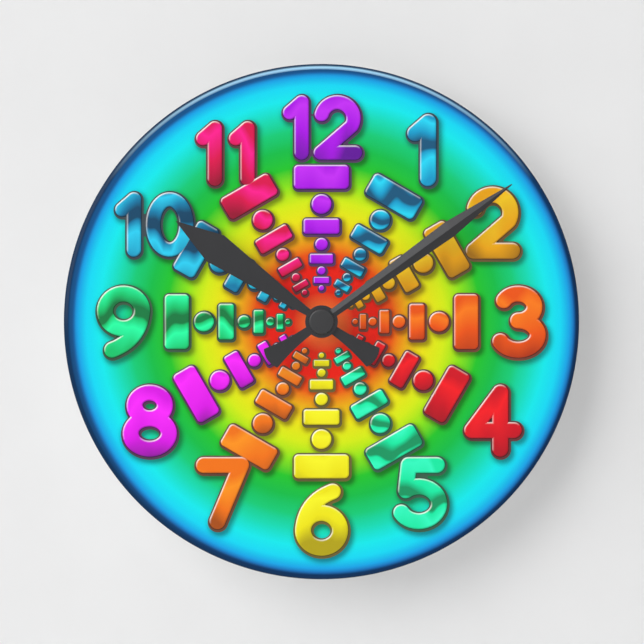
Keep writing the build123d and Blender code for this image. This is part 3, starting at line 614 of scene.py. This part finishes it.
# %% Turn the disc
FACE_RINGS, FACE_TURNS = 128, 640
face_radius = DIAL_RADIUS - BEVEL_WIDTH
across_face = np.linspace(DIAL_HOLE, face_radius, FACE_RINGS)
rounded = arc_points((face_radius, DIAL_FRONT - BEVEL_DEPTH), BEVEL_WIDTH, BEVEL_DEPTH, 88, 4, 14)
disc_profile = np.concatenate([
    np.stack([across_face, np.full(FACE_RINGS, DIAL_FRONT)], -1),
    rounded,
    [(DIAL_RADIUS, DIAL_FRONT - BEVEL_DEPTH), (DIAL_RADIUS, DIAL_BACK + 0.2)],
    [(DIAL_RADIUS - 0.2, DIAL_BACK), (DIAL_HOLE, DIAL_BACK)],
])
acrylic_disc = lathe("acrylic_disc", disc_profile, CASE, FACE_TURNS)
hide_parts("dial_disc")
print("disc:", len(acrylic_disc.data.polygons), "faces")

# %% Soft painted shadows
# A painted shadow beside every mark, moved down and to the right and stored on the disc's vertices
# as shade; smaller marks get smaller, weaker ones.
SHADOW_SHIFT, SHADOW_SOFT, SHADOW_LEAST = np.array([1.0, -1.4]), 1.5, 0.25
corners = np.zeros(len(acrylic_disc.data.vertices) * 3, np.float32)
acrylic_disc.data.vertices.foreach_get("co", corners)
flat = corners.reshape(-1, 3)[:, [0, 2]] / MM
shade = np.zeros(len(flat))
for shapes in HOURS.values():
    for shape, centre, half_size, shoulder in shapes:
        smaller = (shoulder / SHOULDER) ** 2
        soft = SHADOW_SOFT * smaller
        moved = flat - SHADOW_SHIFT * smaller
        near = (np.abs(moved - centre) < np.array(half_size) + 2.5 * soft).all(1)
        gap = np.clip(shape(moved[near]), 0, None)
        strength = SHADOW_LEAST + (1 - SHADOW_LEAST) * smaller
        shade[near] = np.maximum(shade[near], strength * np.exp(-((gap / soft) ** 2)))
attribute = acrylic_disc.data.attributes.new("shade", "FLOAT", "POINT")
attribute.data.foreach_set("value", shade.astype(np.float32))
print(f"shadow covers {100 * (shade > 0.1).mean():.0f} % of the disc's points")

# %% [markdown]
# ## The printed ground
#
# The ground is a round rainbow: red at the centre, through gold and green, to sky blue, and dark
# blue at the rim. The rainbow depends on one thing only, the distance from the print's centre,
# which lies almost a millimetre off the disc's. The material takes the point's place, drops the
# part along the axis, measures the length of what is left and looks it up on a colour ramp. Near
# the rim the dark blue gets painted light, stronger towards the upper left. The painted shadows
# darken it, and a clear hard coat lies over everything.

# %% Colour of the ground
def colour_ramp(tree, factor, stops):
    """A colour ramp from (position, colour) pairs."""
    ramp = node(tree, "ShaderNodeValToRGB")
    elements = ramp.color_ramp.elements
    while len(elements) < len(stops):
        elements.new(0.5)
    for element, (position, colour) in zip(elements, stops):
        element.position = position
        element.color = linear(*colour)
    tree.links.new(factor, ramp.inputs[0])
    return ramp.outputs[0]


def radius_of(tree, centre=(0.0, 0.0)):
    """The distance from a centre (x, z) in millimetres, as a share of the disc's radius."""
    place = node(tree, "ShaderNodeTexCoord")
    keep = node(tree, "ShaderNodeVectorMath", operation="MULTIPLY_ADD")
    keep.inputs[1].default_value = (1 / (DIAL_RADIUS * MM), 0, 1 / (DIAL_RADIUS * MM))
    keep.inputs[2].default_value = (-centre[0] / DIAL_RADIUS, 0, -centre[1] / DIAL_RADIUS)
    length = node(tree, "ShaderNodeVectorMath", operation="LENGTH")
    tree.links.new(place.outputs["Object"], keep.inputs[0])
    tree.links.new(keep.outputs[0], length.inputs[0])
    return length.outputs["Value"]


BLACK, WHITE = (0, 0, 0), (255, 255, 255)
RAINBOW = [  # share of the radius, colour
    (0.06, (240, 110, 48)),
    (0.12, (222, 38, 14)),
    (0.21, (232, 28, 12)),
    (0.27, (232, 84, 12)),
    (0.33, (233, 170, 14)),
    (0.40, (234, 226, 12)),
    (0.47, (212, 234, 14)),
    (0.54, (140, 226, 18)),
    (0.61, (32, 194, 40)),
    (0.68, (12, 186, 70)),
    (0.75, (12, 200, 117)),
    (0.81, (12, 216, 178)),
    (0.87, (12, 230, 233)),
    (0.92, (12, 214, 241)),
    (0.955, (14, 160, 226)),
    (0.97, (17, 108, 182)),
    (0.975, (10, 74, 128)),
    (0.98, (4, 46, 88)),
    (1.0, (8, 44, 76)),
]
PRINT_CENTRE = (0.8, -0.35)


def printed_colour(tree):
    """The rainbow print, with painted light on its dark edge, stronger towards the upper left."""
    out = radius_of(tree, PRINT_CENTRE)
    edge = colour_ramp(tree, out, [(0.962, BLACK), (0.974, WHITE), (0.984, WHITE), (0.991, BLACK)])
    place = own_place(tree)
    # Painted light on the dark edge ring, stronger towards the upper left.
    up_left = combined(tree, place["Z"], place["X"], "SUBTRACT")
    lit = between(tree, up_left, 0, 1, -0.7 * DIAL_RADIUS * MM, 1.4 * DIAL_RADIUS * MM)
    amount = combined(tree, edge, lit, "MULTIPLY")
    return blend_colours(tree, amount, colour_ramp(tree, out, RAINBOW), linear(10, 80, 134))


printed_ground_and_painted_light, tree, principled = shader(
    "printed_ground_and_painted_light", Roughness=0.32, IOR=1.49, Specular_IOR_Level=0.05,
    Coat_Weight=0.3, Coat_Roughness=0.03, Coat_IOR=1.49,
)
ground = printed_colour(tree)
# Painted shadow: the stored shade darkens the ground towards a warm grey.
shade_value = node(tree, "ShaderNodeAttribute", attribute_name="shade").outputs["Fac"]
darker = blend_colours(tree, 1.0, ground, linear(150, 132, 128), "MULTIPLY")
shaded = blend_colours(tree, between(tree, shade_value, 0, 0.85), ground, darker)
grain = between(tree, object_noise(tree, 2200, 2.0), 0.0, 0.16, 0.35, 0.65)
inked = blend_colours(tree, grain, shaded, linear(225, 225, 225), "MULTIPLY")
tree.links.new(inked, principled.inputs["Base Color"])
print("ground:", len(RAINBOW), "colours")

# %% [markdown]
# ## The rim and the back
#
# The print runs on over the rounded edge in its darkest blue, with the same painted light towards
# the upper left, and a painted highlight along the top, a bright line as if light always fell on
# it from above. The line follows the distance from the disc's own centre and fades with the
# height above it. The back of the disc is the bare milky sheet.

# %% Rim and back
rim_blue, tree, principled = shader(
    "rim_blue", Roughness=0.3, IOR=1.49, Specular_IOR_Level=0.05,
    Coat_Weight=0.15, Coat_Roughness=0.1,
)
# Painted highlight: a thin bright ring near the outer edge, strongest at the top.
bright_line = colour_ramp(
    tree, radius_of(tree), [(0.976, BLACK), (0.985, WHITE), (0.988, WHITE), (0.993, BLACK)]
)
top_z = DIAL_RADIUS * MM
towards_top = between(tree, own_place(tree)["Z"], 0.0, 0.95, 0.55 * top_z, top_z)
line_amount = combined(tree, bright_line, towards_top, "MULTIPLY")
lit_rim = blend_colours(tree, line_amount, printed_colour(tree), linear(172, 224, 255))
tree.links.new(lit_rim, principled.inputs["Base Color"])
sheet_back = finish(
    "sheet_back", (232, 233, 231), (224, 226, 225), 300, (0.28, 0.36), 4e-6, IOR=1.49
)
dress(acrylic_disc, printed_ground_and_painted_light, rim_blue, sheet_back)
row = np.arange(len(acrylic_disc.data.polygons)) // FACE_TURNS
last_edge_row = FACE_RINGS + len(rounded) + 1
zone = np.where(row < FACE_RINGS - 1, 0, np.where(row < last_edge_row, 1, 2))
acrylic_disc.data.polygons.foreach_set("material_index", zone.astype(np.int32))
print("disc dressed")

# %% [markdown]
# ## The ink of the marks, and their painted light
#
# Each mark is coloured by three numbers that were stored with it. The height up the mark runs
# through a ramp from a deep to a bright tone, a painted sheen. The blue and green ones have a sharp
# dark horizon in that ramp, a painted reflection, as polished metal has where it reflects the
# ground and the sky. Near the edge, the side that faces the light gets a painted highlight, almost
# white, and the far side painted shade in the deep tone, and the very edge is a thin dark line.

# %% Ink material
# Orders of the three tones up a mark, a painted sheen: the first runs from deep at the bottom to
# bright high up, the second adds a painted reflection, a sharp dark horizon between bright bands.
PLAIN = ((0.0, 0), (0.35, 1), (0.72, 2), (0.9, 1), (1.0, 1))
PAINTED_REFLECTION = ((0.0, 1), (0.3, 2), (0.43, 1), (0.47, 0), (0.6, 0), (0.72, 1), (0.92, 2), (1.0, 1))


def ink(name, deep, middle, bright, order):
    """Ink from three tones laid out up the mark as an order says, with painted light on it."""
    material, tree, principled = shader(
        name, Roughness=0.25, IOR=1.49, Specular_IOR_Level=0.12,
        Coat_Weight=0.3, Coat_Roughness=0.04, Coat_IOR=1.49,
    )
    read = {
        label: node(tree, "ShaderNodeAttribute", attribute_name=label).outputs["Fac"]
        for label in ("depth", "facing", "level")
    }
    wave = between(tree, object_noise(tree, 75, 1.0, (1, 1, 0.35)), -0.22, 0.22, 0.3, 0.7)
    height = combined(tree, between(tree, read["level"], 0, 1, -0.9, 0.9), wave, "ADD")
    tones = (deep, middle, bright)
    fill = colour_ramp(tree, height, [(at, tones[i]) for at, i in order])
    near_edge = between(tree, read["depth"], 1, 0, 0.5, 1.0)
    # A painted highlight, near white, where the edge faces the light, and painted shade in the deep
    # tone where it faces away.
    for towards, colour, strength in ((1, (255, 252, 244), 0.85), (-1, deep, 0.8)):
        turned = between(tree, read["facing"], 0, strength, 0.15 * towards, towards)
        amount = combined(tree, turned, near_edge, "MULTIPLY")
        fill = blend_colours(tree, amount, fill, linear(*colour))
    outline = between(tree, read["depth"], 0.95, 0, 0.2, 0.45)
    dark = tuple(round(0.3 * c) for c in deep)
    edged = blend_colours(tree, outline, fill, linear(*dark))
    tree.links.new(edged, principled.inputs["Base Color"])
    return material


INKS = {
    1: ((20, 84, 120), (18, 152, 198), (40, 214, 244), PAINTED_REFLECTION),
    2: ((160, 108, 16), (233, 164, 16), (244, 200, 34), PLAIN),
    3: ((176, 54, 14), (232, 84, 14), (246, 122, 24), PLAIN),
    4: ((150, 12, 30), (204, 14, 32), (242, 26, 34), PLAIN),
    5: ((18, 146, 94), (16, 230, 160), (50, 246, 190), PAINTED_REFLECTION),
    6: ((176, 160, 16), (236, 226, 16), (246, 242, 36), PLAIN),
    7: ((164, 76, 16), (238, 114, 16), (248, 146, 26), PLAIN),
    8: ((116, 14, 136), (216, 18, 226), (246, 40, 248), PLAIN),
    9: ((16, 118, 62), (18, 192, 106), (40, 248, 164), PAINTED_REFLECTION),
    10: ((14, 68, 100), (18, 124, 168), (44, 204, 238), PAINTED_REFLECTION),
    11: ((148, 14, 48), (216, 16, 76), (248, 28, 142), PLAIN),
    12: ((96, 12, 150), (168, 16, 226), (194, 46, 240), PLAIN),
}
print(len(INKS), "inks")

# %% [markdown]
# ## Printing the marks
#
# Each hour is two pieces. On top is the mark itself. Under it lies a thin dark copy, a little
# larger and moved down and to the right, which shows as the shaded side of a thick letter; its
# darkness is painted shade. Its colour is brown with some of the mark's own deep tone in it.

# %% Print the marks
MARK_LIFT, SIDE_LIFT = 0.04, 0.005
SIDE_RELIEF, SIDE_GROWTH, SIDE_SHIFT = 0.02, 0.6, (0.2, -0.34)
BROWN = (64, 52, 44)
for hour, shapes in HOURS.items():
    name = f"hour_{hour:02d}"
    mark = printed_mark(f"{name}_mark", shapes, DIAL_FRONT + MARK_LIFT, RELIEF)
    side = printed_mark(
        f"{name}_side", shapes, DIAL_FRONT + SIDE_LIFT, SIDE_RELIEF, SIDE_GROWTH, SIDE_SHIFT
    )
    # The side piece's colour is painted shade: dark brown mixed with the mark's deep tone.
    deep = INKS[hour][0]
    shaded_side = tuple(round(0.3 * c + 0.35 * d) for c, d in zip(deep, BROWN))
    paler_side = tuple(round(1.4 * c) for c in shaded_side)
    dress(mark, ink(f"{name}_ink", *INKS[hour]))
    dress(side, finish(f"{name}_side_painted_shade", shaded_side, paler_side, 500, (0.35, 0.45), 1e-6))
    print(name, len(mark.data.polygons), "faces")


# %% [markdown]
# ## Softer edges
#
# A real edge is never perfectly sharp: stamping, moulding and paint all round it a little, and
# that small round is what catches the light. A solid from CAD has hard edges. So a copy of it is
# made, its loose triangles are welded and its flat areas joined, every edge that turns by more
# than a given angle is bevelled, and the copy stands in for the solid. The Weighted Normal
# modifier then keeps the large faces flat, so that only the bevels are shaded round.

# %% Edge softener
def softened(part, body, width, segments=2, degrees=30, crease=40):
    """A copy of a CAD solid with its hard edges rounded by a width in millimetres.

    Edges that bend by more than the given degrees are rounded. Of the rest, those that bend by
    more than the crease stay sharp in the shading.
    """
    shape = bmesh.new()
    shape.from_mesh(nodes[part].data)
    bmesh.ops.remove_doubles(shape, verts=shape.verts, dist=1e-6)
    bmesh.ops.dissolve_limit(
        shape, angle_limit=math.radians(0.5), verts=shape.verts, edges=shape.edges
    )
    limit = math.radians(degrees)
    hard = [e for e in shape.edges if len(e.link_faces) == 2 and e.calc_face_angle() > limit]
    bmesh.ops.bevel(
        shape, geom=hard, offset=width * MM, segments=segments, affect="EDGES", clamp_overlap=True
    )
    mesh = bpy.data.meshes.new(f"{part}_piece")
    shape.to_mesh(mesh)
    shape.free()
    mesh.polygons.foreach_set("use_smooth", np.ones(len(mesh.polygons), bool))
    mesh.set_sharp_from_angle(angle=math.radians(crease))
    piece = bpy.data.objects.new(f"{part}_piece", mesh)
    bpy.context.scene.collection.objects.link(piece)
    weighted = piece.modifiers.new("flat_faces", "WEIGHTED_NORMAL")
    weighted.keep_sharp = True
    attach(piece, body)
    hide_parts(part)
    print(part, "edges rounded:", len(hard))
    return piece


# %% [markdown]
# ## The hands
#
# The hands are stamped from thin aluminium sheet and enamelled charcoal. The enamel is nearly
# black but not quite: it has a faint sparkle and a soft sheen, and it is a little unevenly
# polished. The minute hand is creased along its middle, which stiffens it and lets one side
# catch more light than the other. The cap is moulded plastic, turned here with a rounded edge.

# %% Hands and cap
hand_enamel = finish(
    "hand_enamel", (41, 41, 43), (38, 38, 40), 700, (0.3, 0.36), 8e-7,
    Specular_IOR_Level=0.5, Metallic=0.3,
)
cap_enamel = finish(
    "cap_enamel", (40, 40, 41), (37, 37, 38), 300, (0.27, 0.31), 4e-7, Specular_IOR_Level=0.5
)
for part, body in (("minute_hand", MINUTE), ("hour_hand", HOUR)):
    hand = softened(part, body, 0.12, crease=14)
    dress(hand, hand_enamel)

CAP_ROUND, CAP_CHAMFER, CAP_BORE, CAP_WALL = 0.6, 0.1, 1.6, 0.75
cap_low, cap_high = span("centre_cap")
cap_radius, cap_rear, cap_front = cap_high[0], -cap_high[1], -cap_low[1]
cap_edge = arc_points(
    (cap_radius - CAP_ROUND, cap_front - CAP_ROUND), CAP_ROUND, CAP_ROUND, 90, 0, 8
)
cap_profile = [
    (0, cap_front), *cap_edge,
    (cap_radius, cap_rear + CAP_CHAMFER), (cap_radius - CAP_CHAMFER, cap_rear),
    (CAP_BORE, cap_rear), (CAP_BORE, cap_front - CAP_WALL), (0, cap_front - CAP_WALL),
]
centre_cap = lathe("centre_cap_piece", cap_profile, MINUTE, 96)
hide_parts("centre_cap")
dress(centre_cap, cap_enamel)
print("hands dressed")


# %% [markdown]
# ## Black moulded plastic
#
# The movement's case and cover are moulded in black ABS. A mould is spark-eroded, which leaves a
# very fine grain, so the plastic is dull and shows a soft sheen rather than a reflection. The
# knob is the same plastic, polished a little by fingers.

# %% Case, cover and knob
case_plastic = finish(
    "case_plastic", (40, 40, 42), (46, 46, 48), 2600, (0.5, 0.62), 1.2e-5, Specular_IOR_Level=0.4
)
knob_plastic = finish(
    "knob_plastic", (28, 28, 30), (36, 36, 38), 1400, (0.34, 0.5), 5e-6, Specular_IOR_Level=0.45
)
for part, width in (("movement_rear_case", 0.16), ("movement_front_cover", 0.16)):
    shell = softened(part, CASE, width, 1)
    dress(shell, case_plastic)
knob = softened("setting_knob", SETTING, 0.18)
dress(knob, knob_plastic)
dress(nodes["hour_wheel"], case_plastic)
print("plastic dressed")

# %% [markdown]
# ## Strip, brass and rubber
#
# The hanger is cut from zinc-plated steel strip. Rolling leaves fine lines along the strip, so
# its noise is stretched along Z. The washer and the nut are turned brass, and the gasket is
# rubber, dusty and dull.

# %% Hanger, washer, nut and gasket
zinc_steel = finish(
    "zinc_steel", (174, 176, 179), (162, 165, 169), 1800, (0.3, 0.4), 3e-6, (1, 1, 0.06),
    Metallic=1.0,
)
turned_brass = finish(
    "turned_brass", (201, 160, 88), (184, 140, 70), 1600, (0.22, 0.36), 3e-6, (1, 0.1, 1),
    Metallic=1.0,
)
black_rubber = finish(
    "black_rubber", (30, 30, 30), (44, 43, 42), 1500, (0.75, 0.9), 1.5e-5, Specular_IOR_Level=0.3
)
for part, width, material, slot in (
    ("wall_hanger", 0.18, zinc_steel, "hanger_steel"),
    ("brass_washer", 0.06, turned_brass, "turned_brass"),
    ("hex_nut", 0.22, turned_brass, "turned_brass"),
    ("rubber_gasket", 0.12, black_rubber, "black_rubber"),
):
    piece = softened(part, CASE, width)
    dress(piece, material)
print("metal dressed")

# %% [markdown]
# ## The cell
#
# A dry cell is a steel can in a shrunk plastic jacket that curls over both ends. Seen in profile
# it is a row of short steps and curves, so the lathe draws it from one line: the flat end, the
# curl, the long side, the other curl, the end plate and the nub. The jacket is plain, in two
# colours that meet at a fixed place along the cell, with a plus and a minus sign. A sign is a few
# rectangles of X and Z, each a product of two comparisons.

# %% Turn the cell
cell_low, cell_high = span("battery")
cell_radius = (cell_high[2] - cell_low[2]) / 2
cell_centre = np.array([0.0, (cell_low[1] + cell_high[1]) / 2, (cell_low[2] + cell_high[2]) / 2])
left, tip = cell_low[0], cell_high[0]
NUB_RADIUS, NUB_LENGTH, NUB_ROUND, CURL = 2.75, 1.2, 0.3, 0.4
PLATE_RADIUS, CURL_INSIDE, PLATE_DEPTH = 5.6, 6.2, 0.35
right = tip - NUB_LENGTH
cell_profile = np.concatenate([
    [(0, left + 0.12), (PLATE_RADIUS, left + 0.12), (5.8, left + 0.02), (CURL_INSIDE, left)],
    arc_points((cell_radius - CURL, left + CURL), CURL, CURL, -90, 0, 6),
    arc_points((cell_radius - CURL, right - CURL), CURL, CURL, 0, 90, 6),
    [(CURL_INSIDE, right), (5.9, right - 0.05), (PLATE_RADIUS, right - PLATE_DEPTH)],
    [(NUB_RADIUS + NUB_ROUND, right - PLATE_DEPTH)],
    arc_points((NUB_RADIUS + NUB_ROUND, right - 0.05), NUB_ROUND, NUB_ROUND, -90, -180, 5),
    arc_points((NUB_RADIUS - NUB_ROUND, tip - NUB_ROUND), NUB_ROUND, NUB_ROUND, 0, 90, 5),
    [(0, tip)],
])
cell = lathe("dry_cell", cell_profile, CASE, 96, cell_centre, "to the right")
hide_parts("battery")
print("cell:", len(cell.data.polygons), "faces")

# %% Jacket and can
def painted_strokes(tree, place, strokes):
    """1 inside any of several rectangles, each a centre and a half size in millimetres, else 0."""
    inked = 0.0
    for centre, half in strokes:
        near = [
            combined(tree, place[axis], middle * MM, "COMPARE", reach * MM)
            for axis, middle, reach in zip("XZ", centre, half)
        ]
        inked = combined(tree, combined(tree, *near, "MULTIPLY"), inked, "MAXIMUM")
    return inked


BAND_WIDTH, SIGN_FROM_END, SIGN_HALF, STROKE_HALF = 15.0, 7.5, 2.0, 0.42
cell_jacket, tree, principled = shader(
    "cell_jacket", Roughness=0.26, Specular_IOR_Level=0.5, Coat_Weight=0.4, Coat_Roughness=0.08
)
place = own_place(tree)
band = (right - BAND_WIDTH) * MM
bands = between(tree, place["X"], 0, 1, band - 1e-4, band + 1e-4)
two_tone = blend_colours(tree, bands, linear(176, 181, 186), linear(40, 60, 88))
jacket_grain = between(tree, object_noise(tree, 500, 3.0), 0, 0.08, 0.3, 0.7)
worn = blend_colours(tree, jacket_grain, two_tone, linear(120, 126, 134))
contrast = blend_colours(tree, bands, linear(52, 58, 66), linear(226, 228, 230))
plus_at = (right - SIGN_FROM_END, cell_centre[2])
minus_at = (left + SIGN_FROM_END, cell_centre[2])
flat_stroke, upright_stroke = (SIGN_HALF, STROKE_HALF), (STROKE_HALF, SIGN_HALF)
strokes = [(plus_at, flat_stroke), (plus_at, upright_stroke), (minus_at, flat_stroke)]
signs = painted_strokes(tree, place, strokes)
tree.links.new(blend_colours(tree, signs, worn, contrast), principled.inputs["Base Color"])
can_steel = finish(
    "can_steel", (190, 190, 188), (170, 170, 168), 1500, (0.24, 0.38), 2e-6, Metallic=1.0
)
dress(cell, cell_jacket, can_steel)
centres = np.zeros(len(cell.data.polygons) * 3, np.float32)
cell.data.polygons.foreach_get("center", centres)
off_axis = np.hypot(*(centres.reshape(-1, 3)[:, 1:] / MM - cell_centre[1:]).T)
bare_metal = off_axis < (PLATE_RADIUS + CURL_INSIDE) / 2
cell.data.polygons.foreach_set("material_index", bare_metal.astype(np.int32))
print("bare metal faces:", bare_metal.sum())

# %% [markdown]
# ## Inside the movement
#
# Nothing below can be seen on the wall, but the parts are there, and a clock that is taken apart
# shows them. The wheels are milky acetal, the pinions of the rotor blue, the motor's plates soft
# iron, the board green. The winding gets real turns: a lathe profile with a row of small humps.

# %% Wheels and pinions
acetal_white = finish(
    "acetal_white", (226, 228, 220), (214, 216, 206), 900, (0.34, 0.46), 4e-6,
    Subsurface_Weight=0.12, Subsurface_Radius=(0.001, 0.001, 0.0008), Subsurface_Scale=1.0,
)
acetal_blue = finish(
    "acetal_blue", (74, 132, 178), (62, 118, 166), 900, (0.34, 0.46), 4e-6, Specular_IOR_Level=0.45
)
clear_plastic = finish(
    "clear_plastic", (206, 214, 210), (196, 205, 200), 700, (0.2, 0.32), 3e-6, Coat_Weight=0.3
)
for part in ("fifth_wheel", "fourth_wheel", "third_wheel", "centre_wheel", "setting_wheel"):
    dress(nodes[part], acetal_white)
dress(nodes["rotor_pinion"], acetal_blue)
dress(nodes["gear_bridge"], clear_plastic)
for part in ("minute_arbor", "clutch_spring"):
    dress(nodes[part], turned_brass)
print("wheels dressed")

# %% Motor and winding
soft_iron = finish(
    "soft_iron", (140, 142, 145), (122, 124, 128), 1500, (0.32, 0.5), 5e-6, (0.1, 1, 1),
    Metallic=1.0,
)
magnet_grey = finish(
    "magnet_grey", (66, 66, 69), (54, 54, 57), 2400, (0.45, 0.6), 1e-5, Metallic=0.6
)
bobbin_black = finish(
    "bobbin_black", (34, 34, 36), (42, 42, 44), 1800, (0.4, 0.55), 6e-6, Specular_IOR_Level=0.45
)
copper_enamel = finish(
    "copper_enamel", (176, 84, 42), (150, 66, 32), 1500, (0.22, 0.34), 2e-6,
    Metallic=0.9, Coat_Weight=0.4,
)
for part, material in (
    ("stator_plate", soft_iron), ("coil_core", soft_iron), ("rotor_magnet", magnet_grey),
    ("coil_bobbin", bobbin_black),
):
    dress(nodes[part], material)

coil_low, coil_high = span("coil_winding")
coil_radius = (coil_high[2] - coil_low[2]) / 2
coil_centre = np.array([0.0, (coil_low[1] + coil_high[1]) / 2, (coil_low[2] + coil_high[2]) / 2])
TURNS_SHOWN, STEPS_A_TURN, CORE_RADIUS, WIRE_HUMP = 62, 6, 2.3, 0.07
step = np.arange(TURNS_SHOWN * STEPS_A_TURN + 1)
hump_x = np.linspace(coil_low[0], coil_high[0], len(step))
hump_r = coil_radius - WIRE_HUMP * (1 - np.abs(np.sin(np.pi * step / STEPS_A_TURN)))
coil_profile = [(CORE_RADIUS, coil_high[0]), (CORE_RADIUS, coil_low[0]), *zip(hump_r, hump_x)]
winding = lathe("coil_winding_piece", coil_profile, CASE, 64, coil_centre, "to the right", 60)
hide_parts("coil_winding")
dress(winding, copper_enamel)
print("winding:", TURNS_SHOWN, "turns shown")

# %% Board, chip, crystal and contacts
board_green, tree, principled = shader(
    "board_green", Roughness=0.34, Specular_IOR_Level=0.5, Coat_Weight=0.3, Coat_Roughness=0.15
)
tracks = node(tree, "ShaderNodeTexBrick", Scale=420, Mortar_Size=0.035, Color1=linear(22, 88, 50),
              Color2=linear(28, 98, 56), Mortar=linear(104, 138, 84))
tree.links.new(node(tree, "ShaderNodeTexCoord").outputs["Object"], tracks.inputs["Vector"])
tree.links.new(tracks.outputs["Color"], principled.inputs["Base Color"])
chip_resin = finish(
    "chip_resin", (20, 20, 21), (28, 28, 29), 600, (0.18, 0.3), 1.2e-5, Specular_IOR_Level=0.5
)
bright_can = finish(
    "bright_can", (206, 207, 208), (190, 191, 193), 1200, (0.12, 0.24), 2e-6, Metallic=1.0
)
nickel_strip = finish(
    "nickel_strip", (198, 194, 184), (182, 178, 168), 1500, (0.2, 0.34), 3e-6, (1, 1, 0.08),
    Metallic=1.0,
)
for part, material in (
    ("circuit_board", board_green), ("chip_cover", chip_resin), ("quartz_crystal", bright_can),
    ("positive_contact", nickel_strip), ("negative_contact", nickel_strip),
):
    dress(nodes[part], material)
print("circuit dressed")

# %% [markdown]
# ## The size
#
# The looks must not change the size.

# %% Sizes
print("all pieces dressed")
